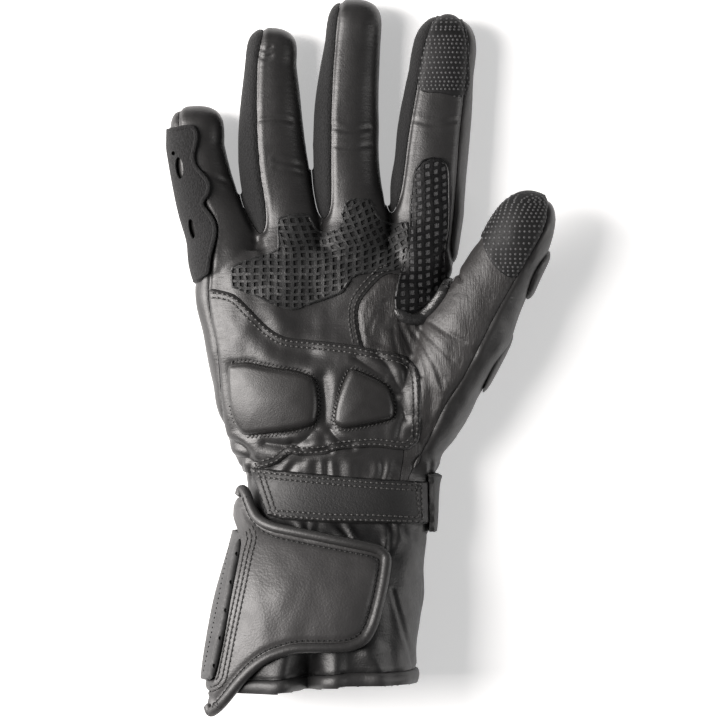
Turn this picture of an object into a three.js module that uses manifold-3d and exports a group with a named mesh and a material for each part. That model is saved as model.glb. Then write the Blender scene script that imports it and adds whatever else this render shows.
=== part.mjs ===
// Right-hand gauntlet sport glove, lying on its back with the palm up.
// Millimetres: +X to the thumb, +Y to the fingertips, +Z out of the palm, the floor at z = 0.
import * as THREE from "three";
import { mergeVertices } from "three/addons/utils/BufferGeometryUtils.js";
import Module from "manifold-3d";

const wasm = await Module();
wasm.setup();

// Driving dimensions
const wall = 2; // thickness of the leather and the fabric side strips
const seamGap = 0.3; // clearance between two pieces that are sewn together
const skinGap = 0.3; // clearance under a piece that lies on another
const gripLift = 1.5; // top of the net grips above the leather
const panelLift = 1.6; // top of the heel panel above the leather
const padLift = 5.2; // top of the two heel pads above the leather
const guardLift = 2; // top of the scalloped guards above the leather
const strapLift = 2.4; // top of the wrist strap above the leather
const keeperLift = 4.4; // top of the strap's keeper above the leather
const flapLift = 3; // top of the cuff flap above the cuff
const pipingLift = 4.2; // top of the rolled piping above the cuff
const pipingWidth = 4.4;
const flapFloor = 16; // level down to which the flap reaches round the cuff's outer side
const ridgeLift = 4.4; // top of the cuff's side guard above the cuff
const hemLift = 0.9; // top of the hem binding above the cuff
const wristSeamY = -47;
const cuffSeamY = -79;
const hemSeamY = -141.8;
const hemY = -148.5;
const limbSides = { outside: 12, inside: 8 };
const bodySides = { outside: 28, inside: 18 };
const limbPower = 2.3; // fullness of a finger's section, 2 being an ellipse
const bodyPower = 2.5;
const centre = { x: -1.04, y: 2.03 }; // middle of the whole glove's plan
const far = { x: 150, y: 200, below: -20, above: 100 }; // bounds of the cutting blocks, clear of the glove
const sideFloor = 12; // level down to which the pieces on the palm side reach round its edges

// Hand, wrist and cuff: a section at each y, from the hem up to the roots of the fingers
const bodyRows = [
  { y: hemY - 14, left: -67, right: 27.5, low: -1.5, high: 61 },
  { y: hemY, left: -68.2, right: 27.2, low: -1.5, high: 61 },
  { y: -140, left: -67.8, right: 26, low: -1.5, high: 61 },
  { y: -126, left: -66, right: 25.8, low: -1.5, high: 61 },
  { y: -108, left: -62.6, right: 27.5, low: -1.5, high: 60 },
  { y: -94, left: -59, right: 28, low: -1.5, high: 57 },
  { y: -82, left: -54.5, right: 28.8, low: -1.5, high: 52 },
  { y: -73, left: -50, right: 29.6, low: -1.5, high: 45.5 },
  { y: -62, left: -47, right: 30, low: -1.5, high: 42 },
  { y: -53, left: -48, right: 32, low: -1.5, high: 41 },
  { y: -45, left: -54.2, right: 36, low: -1.5, high: 41.5 },
  { y: -36, left: -58.5, right: 38, low: -1.5, high: 42 },
  { y: -22, left: -64, right: 39, low: -1.5, high: 42 },
  { y: -8, left: -66.8, right: 39, low: -1.5, high: 41 },
  { y: 9, left: -70.5, right: 39, low: -1.5, high: 39 },
  { y: 27, left: -74, right: 40, low: -1.5, high: 37 },
  { y: 40, left: -73, right: 40, low: -1.2, high: 35 },
  { y: 49, left: -70, right: 38, low: 0, high: 31 },
];

// Fingers and thumb: a section at each centre, from root to tip; tip is 1 where the end faces forward
const littleRows = [
  { x: -56, y: 22, z: 14, w: 20, h: 18, tip: 0 },
  { x: -59.4, y: 41, z: 15.5, w: 31, h: 29, tip: 0 },
  { x: -61.4, y: 56.3, z: 14, w: 31.5, h: 26, tip: 0 },
  { x: -67.3, y: 69.8, z: 13, w: 27.5, h: 24.5, tip: 0 },
  { x: -71.1, y: 83.3, z: 12.7, w: 25.4, h: 23.5, tip: 0 },
  { x: -73.8, y: 96.8, z: 12.5, w: 24.7, h: 22.5, tip: 0 },
  { x: -74.8, y: 105.8, z: 12.5, w: 22, h: 20.5, tip: 0.3 },
  { x: -74.4, y: 111, z: 12.7, w: 16, h: 15, tip: 0.8 },
  { x: -73.8, y: 113.8, z: 12.7, w: 8, h: 8, tip: 1 },
];
const ringRows = [
  { x: -31, y: 20, z: 14, w: 24, h: 22, tip: 0 },
  { x: -31.5, y: 41, z: 17, w: 33, h: 32, tip: 0 },
  { x: -32.9, y: 60.8, z: 14.8, w: 31.5, h: 28, tip: 0 },
  { x: -37.1, y: 76.5, z: 14, w: 32.5, h: 26.5, tip: 0 },
  { x: -39.4, y: 90, z: 13.8, w: 31.5, h: 26, tip: 0 },
  { x: -40.4, y: 105.8, z: 13.5, w: 29.5, h: 25, tip: 0 },
  { x: -40.5, y: 121.5, z: 13.2, w: 26, h: 24, tip: 0 },
  { x: -40.3, y: 135, z: 13, w: 23, h: 22, tip: 0 },
  { x: -39.3, y: 142.8, z: 13, w: 19.6, h: 18.5, tip: 0.4 },
  { x: -39.2, y: 148.2, z: 13, w: 9.5, h: 10, tip: 1 },
];
const middleRows = [
  { x: -4, y: 20, z: 14, w: 26, h: 22, tip: 0 },
  { x: -3.6, y: 41, z: 17.5, w: 34, h: 33, tip: 0 },
  { x: -2.6, y: 62.1, z: 15, w: 32, h: 29, tip: 0 },
  { x: -5.4, y: 76.5, z: 14.5, w: 31, h: 27.5, tip: 0 },
  { x: -6.4, y: 92.3, z: 14.2, w: 30, h: 27, tip: 0 },
  { x: -6.2, y: 110.3, z: 13.8, w: 29.4, h: 26, tip: 0 },
  { x: -4.9, y: 128.3, z: 13.5, w: 27.2, h: 25, tip: 0 },
  { x: -3.2, y: 144, z: 13.3, w: 25.2, h: 23.5, tip: 0 },
  { x: -2.2, y: 155, z: 13.2, w: 21.5, h: 20, tip: 0.4 },
  { x: -1.9, y: 161.2, z: 13.2, w: 11, h: 11, tip: 1 },
];
const indexRows = [
  { x: 23, y: 20, z: 13, w: 22, h: 18, tip: 0 },
  { x: 26, y: 41, z: 17, w: 31, h: 32, tip: 0 },
  { x: 30, y: 60.8, z: 15, w: 32.5, h: 29, tip: 0 },
  { x: 30.6, y: 76.5, z: 14.5, w: 34, h: 28, tip: 0 },
  { x: 32.2, y: 90, z: 14.2, w: 33, h: 27.5, tip: 0 },
  { x: 33.3, y: 103.5, z: 13.9, w: 33, h: 27, tip: 0 },
  { x: 35.1, y: 117, z: 13.6, w: 32, h: 26, tip: 0 },
  { x: 36.9, y: 130.5, z: 13.4, w: 29.5, h: 25, tip: 0 },
  { x: 39.4, y: 141.8, z: 13.3, w: 26.5, h: 23.5, tip: 0.1 },
  { x: 40.1, y: 149.2, z: 13.2, w: 20, h: 18, tip: 0.6 },
  { x: 40.4, y: 153.3, z: 13.2, w: 10, h: 10, tip: 1 },
];
const thumbRows = [
  { x: 20, y: -53, z: 18, w: 14, h: 18, tip: 0 },
  { x: 24, y: -39, z: 20, w: 26, h: 30, tip: 0 },
  { x: 30, y: -22, z: 23, w: 36, h: 39, tip: 0 },
  { x: 39.5, y: -3, z: 25.5, w: 38.5, h: 38, tip: 0 },
  { x: 49.3, y: 15.8, z: 28, w: 38.5, h: 34, tip: 0 },
  { x: 58.6, y: 32.2, z: 30, w: 33.4, h: 30.5, tip: 0 },
  { x: 67, y: 47, z: 31.8, w: 29.8, h: 28, tip: 0 },
  { x: 73.2, y: 59.4, z: 33, w: 26.5, h: 24.5, tip: 0.2 },
  { x: 78, y: 68.2, z: 33.6, w: 18, h: 17.5, tip: 0.7 },
  { x: 80.4, y: 72.4, z: 33.8, w: 8.5, h: 9, tip: 1 },
];

// Hollows pressed into the palm side: the cup of the hand, the wrist's waist and the cuff's deep fold
const dents = [
  { x: -14, y: 20, across: 22, along: 20, depth: 3.5 },
  { x: 26, y: 18, across: 10, along: 13, depth: 3 },
  { x: -14, y: -20, across: 6, along: 16, depth: 1.6 },
  { x: -22.5, y: -152, across: 6.5, along: 22, depth: 8 },
];

// Seams on the palm side, as lines in plan
const seams = {
  ringLeft: [
    [-43, 154], [-44.5, 144], [-46.4, 132], [-46.4, 105], [-45, 85], [-43, 72], [-42.5, 61],
    [-45, 57], [-49, 62], [-53, 70], [-54.5, 78],
  ],
  middleLeft: [
    [-7, 168], [-9.8, 157], [-11.5, 140], [-12.8, 115], [-13, 90], [-13.2, 70], [-16, 64],
    [-19, 67], [-21, 76], [-21.5, 84],
  ],
  indexLeft: [
    [40.5, 160], [33, 152], [29, 142], [25.5, 122], [22, 102], [20, 86], [18, 74], [15, 67],
    [12.5, 69], [12, 78],
  ],
  indexRight: [
    [41.5, 160], [46, 152], [48.4, 140], [47.2, 122], [44.8, 100], [43.6, 82], [42, 62], [41, 50],
    [43.4, 40], [45, 36],
  ],
  outerSide: [
    [-80, 119], [-82, 108], [-78, 90], [-71, 72], [-66, 60], [-67.5, 40], [-67.8, 25], [-64, 5],
    [-62.3, -15], [-60, -32], [-54, -52],
  ],
  palmCurve: [
    [56, 64], [50, 54], [45.8, 45], [43.4, 40], [40.6, 34], [34, 31.5], [26, 34], [13.8, 38.8],
    [5, 32.5], [-1, 22], [-3, 5], [-5, -20], [-7, -52],
  ],
  thumbSide: [
    [84, 80], [83, 63], [79, 53], [68, 34], [58, 16], [46.5, -7], [37.5, -21], [30, -37], [22, -52],
  ],
};

// Line in plan across the roots of the fingers, where the palm leather is divided under the grips
const rootLine = [
  [-95, 59.5], [-43, 59.5], [-36, 61], [-24, 64], [-16, 66], [-8, 67], [8, 68], [15, 69.2], [60, 70],
];

// Level of the side seam round the hand and the thumb, seen from the fingertips
const sideSeamLevel = [[-110, 7.5], [46, 7.5], [58, 20], [76, 27], [100, 30]];

// Outlines in plan of the pieces that lie on the palm side
const outlines = {
  palmGrip: [
    [-57, 33], [-57.5, 41], [-52, 45], [-38.5, 49.5], [-37.4, 61], [-33, 65], [-24, 65], [-19, 59.5],
    [-13, 58], [-8.5, 62], [-5.5, 71], [3.5, 72], [8, 65], [17, 61.8], [21, 61], [19.6, 43],
    [7, 39.6], [-2, 37.8], [-9, 30], [-22, 25], [-31, 22.6], [-44, 27],
  ],
  webGrip: [
    [24, 86.5], [30.5, 91], [37.5, 89.5], [40.6, 80], [40.3, 60], [38.3, 47], [39.3, 34], [33.5, 27.5],
    [24, 22], [16.8, 21], [15.6, 28], [19.8, 37], [21.2, 50], [22.2, 63], [22.6, 76],
  ],
  webGripEdge: [
    [17, 20], [24, 20.6], [34, 26.5], [39.8, 31.8], [40.8, 27], [34, 18.5], [26, 14.5], [18.5, 16.2],
  ],
  heelPanel: [
    [-64, 31], [-56, 29], [-44, 17.5], [-33, 10.2], [-13, 8], [7, 4.6], [21, 1.5], [26.6, -6],
    [27.2, -24], [25, -37], [18, -40], [-3, -39.6], [-17, -42.3], [-31, -42.3], [-44, -46.5],
    [-53, -40], [-59, -30], [-60.8, -10], [-63, 8],
  ],
  heelPadOuter: [
    [-58.4, -4], [-54, -1], [-36, -3.8], [-22, -7.5], [-19, -15], [-19.5, -27], [-24, -30],
    [-50, -33.4], [-56, -27], [-58.6, -12],
  ],
  heelPadInner: [
    [-4, -4.8], [0, -5], [11, -11], [14.7, -21], [13, -26.6], [-6, -30.4], [-11, -27.4], [-8.5, -13],
  ],
  indexTipGrip: [
    [40.5, 158], [33.6, 152], [29.6, 141], [26.4, 123], [36, 120], [48, 119.6], [49.4, 138], [47, 152],
  ],
  thumbTipGrip: [
    [82, 78], [65, 72], [52, 58], [55, 52], [57, 44.5], [63, 38.6], [69, 37], [75.4, 47], [81, 58],
    [83, 66],
  ],
  littleFingerGuard: [
    [-94, 105], [-83, 105], [-75.5, 105.8], [-72.8, 100], [-74.2, 90], [-68, 81], [-67.8, 74.8],
    [-69.8, 70.4], [-65, 62], [-65.4, 51], [-67.4, 40], [-73, 34.5], [-94, 34],
  ],
  thumbGuardTip: [[84, 48], [80.6, 40], [79.5, 34], [76, 30], [95, 24], [100, 48]],
  thumbGuardRoot: [[66.6, 9], [64, 0], [59, -9], [53, -16], [72, -22], [84, 6]],
  strap: [
    [-48.6, -48], [-35, -49.6], [-14.7, -51.4], [5.8, -52.8], [24, -54], [45, -54], [45, -73],
    [5.8, -73], [-14.7, -72.6], [-35, -71], [-41, -69],
  ],
  strapKeeper: [[26, -50.6], [33, -50.2], [46, -50], [46, -77], [33, -77], [27, -75.6]],
  sideRidge: [
    [-54, -77.6], [-51.6, -80.6], [-54.6, -94], [-60.8, -121], [-66, -138.6], [-70.5, -140],
    [-90, -140], [-84, -77],
  ],
};

// Outer edge of the cuff flap in plan, from its upper left corner round to its lower left one
const flapEdge = [
  [-49, -58.5], [-46, -62], [-43.6, -69], [-38, -73.6], [-30, -75.4], [-13, -78.6], [4, -82.2],
  [11, -85], [13.2, -89], [11.6, -101], [8.6, -113], [5.2, -122], [-2, -127.6], [-12, -129.2],
  [-26, -129.6], [-35, -131.6], [-43, -136], [-51, -144], [-59, -154], [-64, -157.4],
];
// Left edge of the flap, beside the side ridge
const flapRoot = [[-64.4, -150], [-62.6, -140], [-60.2, -123], [-53.8, -95], [-50.6, -81], [-49.8, -70]];

const finishes = {
  leather: { color: 0x232326, roughness: 0.5 },
  brushedLeather: { color: 0x29282a, roughness: 0.62 },
  fabric: { color: 0x3d3d3f, roughness: 0.9 },
  suede: { color: 0x1f1f21, roughness: 0.95 },
  net: { color: 0x111112, roughness: 0.3 },
  dots: { color: 0x18181a, roughness: 0.6 },
  rubber: { color: 0x19191b, roughness: 0.45 },
};

// Solids and cutting

function solidOf(geometry) {
  const bare = geometry.clone();
  bare.deleteAttribute("normal");
  bare.deleteAttribute("uv");
  const merged = mergeVertices(bare, 1e-4);
  return new wasm.Manifold(new wasm.Mesh({
    numProp: 3,
    vertProperties: new Float32Array(merged.attributes.position.array),
    triVerts: new Uint32Array(merged.index.array),
  }));
}

function unionOf(solids) {
  return solids.reduce((whole, solid) => whole.add(solid));
}

function largest(solid) {
  const pieces = solid.decompose();
  return pieces.reduce((best, piece) => (piece.volume() > best.volume() ? piece : best));
}

function box(low, high) {
  const size = new THREE.Vector3().subVectors(high, low);
  const geometry = new THREE.BoxGeometry(size.x, size.y, size.z);
  geometry.translate(low.x + size.x / 2, low.y + size.y / 2, low.z + size.z / 2);
  return solidOf(geometry);
}

function slabY(low, high) {
  return box(new THREE.Vector3(-far.x, low, far.below), new THREE.Vector3(far.x, high, far.above));
}

function aboveZ(level) {
  return box(new THREE.Vector3(-far.x, -far.y, level), new THREE.Vector3(far.x, far.y, far.above));
}

// Sections joined from first to last, each a rounded oval in its own plane
function loft(sections, sides, power, shape) {
  const geometry = new THREE.CylinderGeometry(1, 1, 1, sides, sections.length - 1);
  const position = geometry.attributes.position;
  for (let i = 0; i < position.count; i += 1) {
    const section = sections[Math.round((position.getY(i) + 0.5) * (sections.length - 1))];
    const across = position.getX(i);
    const up = position.getZ(i);
    const reach = Math.hypot(across, up);
    const u = Math.sign(across) * Math.pow(Math.abs(across), 2 / power) * reach * section.w / 2;
    const v = Math.sign(up) * Math.pow(Math.abs(up), 2 / power) * reach * section.h / 2;
    const point = new THREE.Vector3(section.x, section.y, section.z);
    point.addScaledVector(section.side, u);
    point.z += v;
    shape?.(point, v / section.h);
    position.setXYZ(i, point.x, point.y, point.z);
  }
  return solidOf(geometry);
}

// A finger or the thumb, grown outward by grow; its tip moves forward by as much
function limb(rows, grow, sides) {
  const sections = rows.map((row, index) => {
    const before = rows[Math.max(index - 1, 0)];
    const after = rows[Math.min(index + 1, rows.length - 1)];
    const along = new THREE.Vector3(after.x - before.x, after.y - before.y, 0).normalize();
    return {
      x: row.x + along.x * grow * row.tip,
      y: row.y + along.y * grow * row.tip,
      z: row.z,
      w: row.w + 2 * grow * (1 - 0.4 * row.tip),
      h: row.h + 2 * grow * (1 - 0.4 * row.tip),
      side: new THREE.Vector3(along.y, -along.x, 0),
    };
  });
  return loft(sections, sides, limbPower);
}

function dentDepth(x, y) {
  return dents.reduce((sum, dent) => {
    const u = (x - dent.x) / dent.across;
    const v = (y - dent.y) / dent.along;
    return sum + dent.depth * Math.exp(-u * u - v * v);
  }, 0);
}

// Hand, wrist and cuff as one form, grown outward by grow
function body(grow, dented = true, sides = bodySides.outside) {
  const sections = bodyRows.map((row) => ({
    x: (row.left + row.right) / 2,
    y: row.y,
    z: (row.low + row.high) / 2,
    w: row.right - row.left + 2 * grow,
    h: row.high - row.low + 2 * grow,
    side: new THREE.Vector3(1, 0, 0),
  }));
  const press = (point, level) => {
    const share = Math.max(0, level * 2);
    point.z -= dented ? share * dentDepth(point.x, point.y) : 0;
  };
  return loft(sections, sides, bodyPower, press);
}

// Only the outer skin of the union is kept, so that no pocket stays shut between the roots of the fingers
function hand(grow, side = "outside") {
  const fingers = [littleRows, ringRows, middleRows, indexRows, thumbRows];
  const limbs = fingers.map((rows) => limb(rows, grow, limbSides[side]));
  return largest(unionOf([body(grow, true, bodySides[side]), ...limbs]));
}

// Flat shapes stood up as prisms

function prism(points, low = far.below, high = far.above) {
  const shape = new THREE.Shape(points.map(([x, y]) => new THREE.Vector2(x, y)));
  const geometry = new THREE.ExtrudeGeometry(shape, { depth: high - low, bevelEnabled: false });
  geometry.translate(0, 0, low);
  return solidOf(geometry);
}

// Points moved to one side of a line by a distance, left of its direction being positive
function offsetLine(points, distance) {
  return points.map((point, index) => {
    const [x0, y0] = points[Math.max(index - 1, 0)];
    const [x1, y1] = points[Math.min(index + 1, points.length - 1)];
    const length = Math.hypot(x1 - x0, y1 - y0);
    return [point[0] - (y1 - y0) / length * distance, point[1] + (x1 - x0) / length * distance];
  });
}

function ribbon(points, width, low, high) {
  const edge = offsetLine(points, width / 2);
  const otherEdge = offsetLine(points, -width / 2).reverse();
  return prism([...edge, ...otherEdge], low, high);
}

// What lies between two profiles across the hand, from the wrist to beyond the fingertips
function acrossHand(upper, lower) {
  const ySpan = far.y - wristSeamY + 1;
  const profile = [...upper, ...lower.toReversed()].map(([x, z]) => new THREE.Vector2(x, z));
  const shape = new THREE.Shape(profile);
  const geometry = new THREE.ExtrudeGeometry(shape, { depth: ySpan, bevelEnabled: false });
  geometry.rotateX(Math.PI / 2);
  geometry.translate(0, far.y, 0);
  return solidOf(geometry);
}

// The leather and fabric shell, open at the cuff and flat where it lies
const outside = hand(0).intersect(aboveZ(0)).intersect(slabY(hemY, far.y));
const hollow = hand(-wall, "inside").intersect(aboveZ(wall)).intersect(slabY(hemY - wall, far.y));
const shell = outside.subtract(hollow);

function distanceTo(solid, probe) {
  const vertices = solid.getMesh().vertProperties;
  let nearest = Infinity;
  for (let i = 0; i < vertices.length; i += 3) {
    const offset = probe.map((value, axis) => vertices[i + axis] - value);
    nearest = Math.min(nearest, Math.hypot(...offset));
  }
  return nearest;
}

const panelFinish = {
  thumb_leather: "brushedLeather",
  fourchette_little_ring: "fabric",
  fourchette_ring_middle: "fabric",
  fourchette_middle_index: "fabric",
};

function panelNamed(name, probe, panels) {
  const solid = panels.reduce((best, panel) => (
    distanceTo(panel, probe) < distanceTo(best, probe) ? panel : best));
  return { name, solid, finish: finishes[panelFinish[name] ?? "leather"] };
}

// The hand's panels are what the seams leave of the shell; each is known by a point on it
const panelProbes = {
  thumb_leather: [60, 42, 45],
  thumb_back: [62, 30, 15],
  back_leather: [-10, 0, 0],
  fourchette_little_ring: [-51, 110, 20],
  fourchette_ring_middle: [-18, 110, 20],
  fourchette_middle_index: [20, 110, 20],
  index_side: [49.4, 105, 18],
  outer_side: [-73, 0, 20],
  thumb_side: [66, 16, 37],
};

// The palm leather is divided again at the roots of the fingers
const palmProbes = {
  palm_leather: [0, 20, 36],
  little_finger_leather: [-70, 90, 24],
  ring_finger_leather: [-38, 110, 26],
  middle_finger_leather: [-4, 110, 27],
  index_finger_leather: [33, 110, 27],
};

function handPanels() {
  const middleLine = sideSeamLevel;
  const slab = acrossHand(offsetLine(middleLine, seamGap / 2), offsetLine(middleLine, -seamGap / 2));
  const below = acrossHand(middleLine, middleLine.map(([x]) => [x, far.below]));
  const upright = unionOf(Object.values(seams).map((line) => ribbon(line, seamGap))).subtract(below);
  const handShell = shell.intersect(slabY(wristSeamY, far.y));
  const sewn = handShell.subtract(upright.add(slab)).decompose();
  const palm = panelNamed("palm_leather", palmProbes.middle_finger_leather, sewn);
  const palmParts = palm.solid.subtract(ribbon(rootLine, seamGap)).decompose();
  return [
    ...Object.entries(palmProbes).map(([name, probe]) => panelNamed(name, probe, palmParts)),
    ...Object.entries(panelProbes).map(([name, probe]) => panelNamed(name, probe, sewn)),
  ];
}

// Pieces that lie on the leather

function layer(low, high) {
  return hand(high).subtract(hand(low));
}

function cuffLayer(low, high) {
  return body(high, false).subtract(body(low, false));
}

function overlay(outline, low, high, floor = sideFloor) {
  return largest(layer(low, high).intersect(prism(outline, floor)));
}

function cuffFlap() {
  const inner = offsetLine(flapEdge, -pipingWidth - seamGap);
  const plan = prism([...inner, ...flapRoot]);
  return largest(cuffLayer(hemLift + skinGap, flapLift).intersect(plan).intersect(aboveZ(flapFloor)));
}

function flapPiping() {
  const band = ribbon(offsetLine(flapEdge, -pipingWidth / 2), pipingWidth);
  const ridge = prism(outlines.sideRidge.map(([x, y]) => [x + seamGap, y]));
  const ring = cuffLayer(hemLift + skinGap, pipingLift).intersect(aboveZ(flapFloor));
  return largest(ring.intersect(band).subtract(ridge));
}

function hemBinding() {
  const ring = body(hemLift).intersect(aboveZ(0)).subtract(body(-wall - hemLift).intersect(aboveZ(wall)));
  return ring.intersect(slabY(hemY, hemSeamY));
}

// Pieces cut from a layer of the hand by an outline: bottom and top of the layer, and how low it reaches
const onLeather = { low: skinGap, high: panelLift };
const onPanel = { low: panelLift + skinGap, high: padLift };
const grip = { low: skinGap, high: gripLift };
const guard = { low: skinGap, high: guardLift, finish: finishes.suede };
const overlays = [
  { name: "palm_grip", outline: outlines.palmGrip, ...grip, finish: finishes.net },
  { name: "web_grip", outline: outlines.webGrip, ...grip, finish: finishes.net },
  { name: "web_grip_edge", outline: outlines.webGripEdge, ...onLeather, finish: finishes.leather },
  { name: "heel_panel", outline: outlines.heelPanel, ...onLeather, finish: finishes.leather },
  { name: "heel_pad_outer", outline: outlines.heelPadOuter, ...onPanel, finish: finishes.leather },
  { name: "heel_pad_inner", outline: outlines.heelPadInner, ...onPanel, finish: finishes.leather },
  { name: "index_tip_grip", outline: outlines.indexTipGrip, ...grip, finish: finishes.dots },
  { name: "thumb_tip_grip", outline: outlines.thumbTipGrip, ...grip, floor: 32, finish: finishes.dots },
  { name: "little_finger_guard", outline: outlines.littleFingerGuard, ...guard, floor: 4 },
  { name: "thumb_guard_tip", outline: outlines.thumbGuardTip, ...guard, floor: 16 },
  { name: "thumb_guard_root", outline: outlines.thumbGuardRoot, ...guard, floor: 8 },
  { name: "wrist_strap", outline: outlines.strap, low: skinGap, high: strapLift, finish: finishes.leather },
  {
    name: "strap_keeper",
    outline: outlines.strapKeeper,
    low: strapLift + skinGap,
    high: keeperLift,
    finish: finishes.leather,
  },
  {
    name: "cuff_side_ridge",
    outline: outlines.sideRidge,
    low: skinGap,
    high: ridgeLift,
    floor: 14,
    finish: finishes.rubber,
  },
];

const gather = shell.intersect(slabY(cuffSeamY, wristSeamY - seamGap));
const cuff = shell.intersect(slabY(hemSeamY + seamGap, cuffSeamY - seamGap));

const pieces = [
  ...handPanels(),
  { name: "wrist_gather", solid: gather, finish: finishes.leather },
  { name: "cuff_body", solid: cuff, finish: finishes.leather },
  { name: "cuff_hem_binding", solid: hemBinding(), finish: finishes.fabric },
  { name: "cuff_flap", solid: cuffFlap(), finish: finishes.leather },
  { name: "flap_piping", solid: flapPiping(), finish: finishes.leather },
  ...overlays.map((piece) => ({
    name: piece.name,
    solid: overlay(piece.outline, piece.low, piece.high, piece.floor),
    finish: piece.finish,
  })),
];

function meshOf({ name, solid, finish }) {
  const { vertProperties, triVerts } = solid.getMesh();
  const geometry = new THREE.BufferGeometry();
  geometry.setAttribute("position", new THREE.BufferAttribute(new Float32Array(vertProperties), 3));
  geometry.setIndex(new THREE.BufferAttribute(new Uint32Array(triVerts), 1));
  geometry.computeVertexNormals();
  const mesh = new THREE.Mesh(geometry, new THREE.MeshStandardMaterial({ ...finish, metalness: 0 }));
  mesh.name = name;
  return mesh;
}

const group = new THREE.Group();
group.position.set(-centre.x, -centre.y, 0);
group.add(...pieces.map(meshOf));

export default group;
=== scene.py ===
# Right-hand gauntlet glove, lying on its back with the palm up.
# The forms are worked out in millimetres and moved into the frame as each piece is finished.
import math

import bmesh
import bpy
import numpy as np
from mathutils import Matrix, Vector, noise
from mathutils.bvhtree import BVHTree


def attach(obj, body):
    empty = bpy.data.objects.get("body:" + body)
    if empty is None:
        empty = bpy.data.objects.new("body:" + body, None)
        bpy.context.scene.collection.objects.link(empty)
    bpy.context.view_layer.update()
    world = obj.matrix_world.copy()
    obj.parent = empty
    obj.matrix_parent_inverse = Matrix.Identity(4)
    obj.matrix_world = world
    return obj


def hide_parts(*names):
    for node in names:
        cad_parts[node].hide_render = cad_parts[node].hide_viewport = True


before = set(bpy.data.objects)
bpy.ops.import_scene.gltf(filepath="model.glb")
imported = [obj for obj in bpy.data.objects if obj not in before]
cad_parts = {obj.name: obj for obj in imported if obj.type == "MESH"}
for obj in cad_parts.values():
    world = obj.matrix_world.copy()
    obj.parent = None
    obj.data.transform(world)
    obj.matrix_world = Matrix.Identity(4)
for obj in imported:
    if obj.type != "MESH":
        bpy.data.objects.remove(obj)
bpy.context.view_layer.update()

# plan middle of the glove in the millimetres of the tables below
gloveMiddle = {"x": -1.04, "y": 2.03}
toFrame = Matrix.Scale(0.001, 4) @ Matrix.Translation((-gloveMiddle["x"], -gloveMiddle["y"], 0))

# Camera, floor and light

photoView = {"height": 1800, "pixel": 0.45, "level": 25, "image": 720, "sensor": 36, "farClip": 20}


def makeCamera():
    data = bpy.data.cameras.new("photoCamera")
    data.sensor_width = photoView["sensor"]
    span = photoView["pixel"] * photoView["image"]  # width seen at the palm's level
    data.lens = photoView["sensor"] * (photoView["height"] - photoView["level"]) / span
    data.clip_end = photoView["farClip"]
    camera = bpy.data.objects.new("photoCamera", data)
    camera.location = toFrame @ Vector((0, 0, photoView["height"]))
    bpy.context.scene.collection.objects.link(camera)
    bpy.context.scene.camera = camera


studio = {
    # name: place in metres, aim, size across and along, power in watts, warmth
    "leftKey": ((-1.2, 0.15, 0.80), (0, 0, 0), (0.7, 1.6), 63, (1.0, 0.965, 0.945)),
    "rightRim": ((1.3, -0.1, 0.36), (0, 0, 0), (0.3, 1.3), 7, (1.0, 0.975, 0.96)),
}
surround = {"color": (0.96, 0.98, 1.0), "strength": 0.10}


def makeLights():
    for name, (place, aim, size, power, color) in studio.items():
        data = bpy.data.lights.new(name, "AREA")
        data.shape = "RECTANGLE"
        data.size, data.size_y = size
        data.energy = power
        data.color = color
        light = bpy.data.objects.new(name, data)
        light.location = place
        facing = Vector(aim) - Vector(place)
        light.rotation_euler = facing.to_track_quat("-Z", "Y").to_euler()
        light.visible_camera = False
        bpy.context.scene.collection.objects.link(light)
    world = bpy.data.worlds.new("studioWorld")
    world.use_nodes = True
    background = world.node_tree.nodes["Background"]
    background.inputs["Color"].default_value = (*surround["color"], 1)
    background.inputs["Strength"].default_value = surround["strength"]
    bpy.context.scene.world = world
    bpy.context.scene.view_settings.view_transform = "Standard"


makeCamera()
makeLights()
print("camera and lights made")

# Materials


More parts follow.
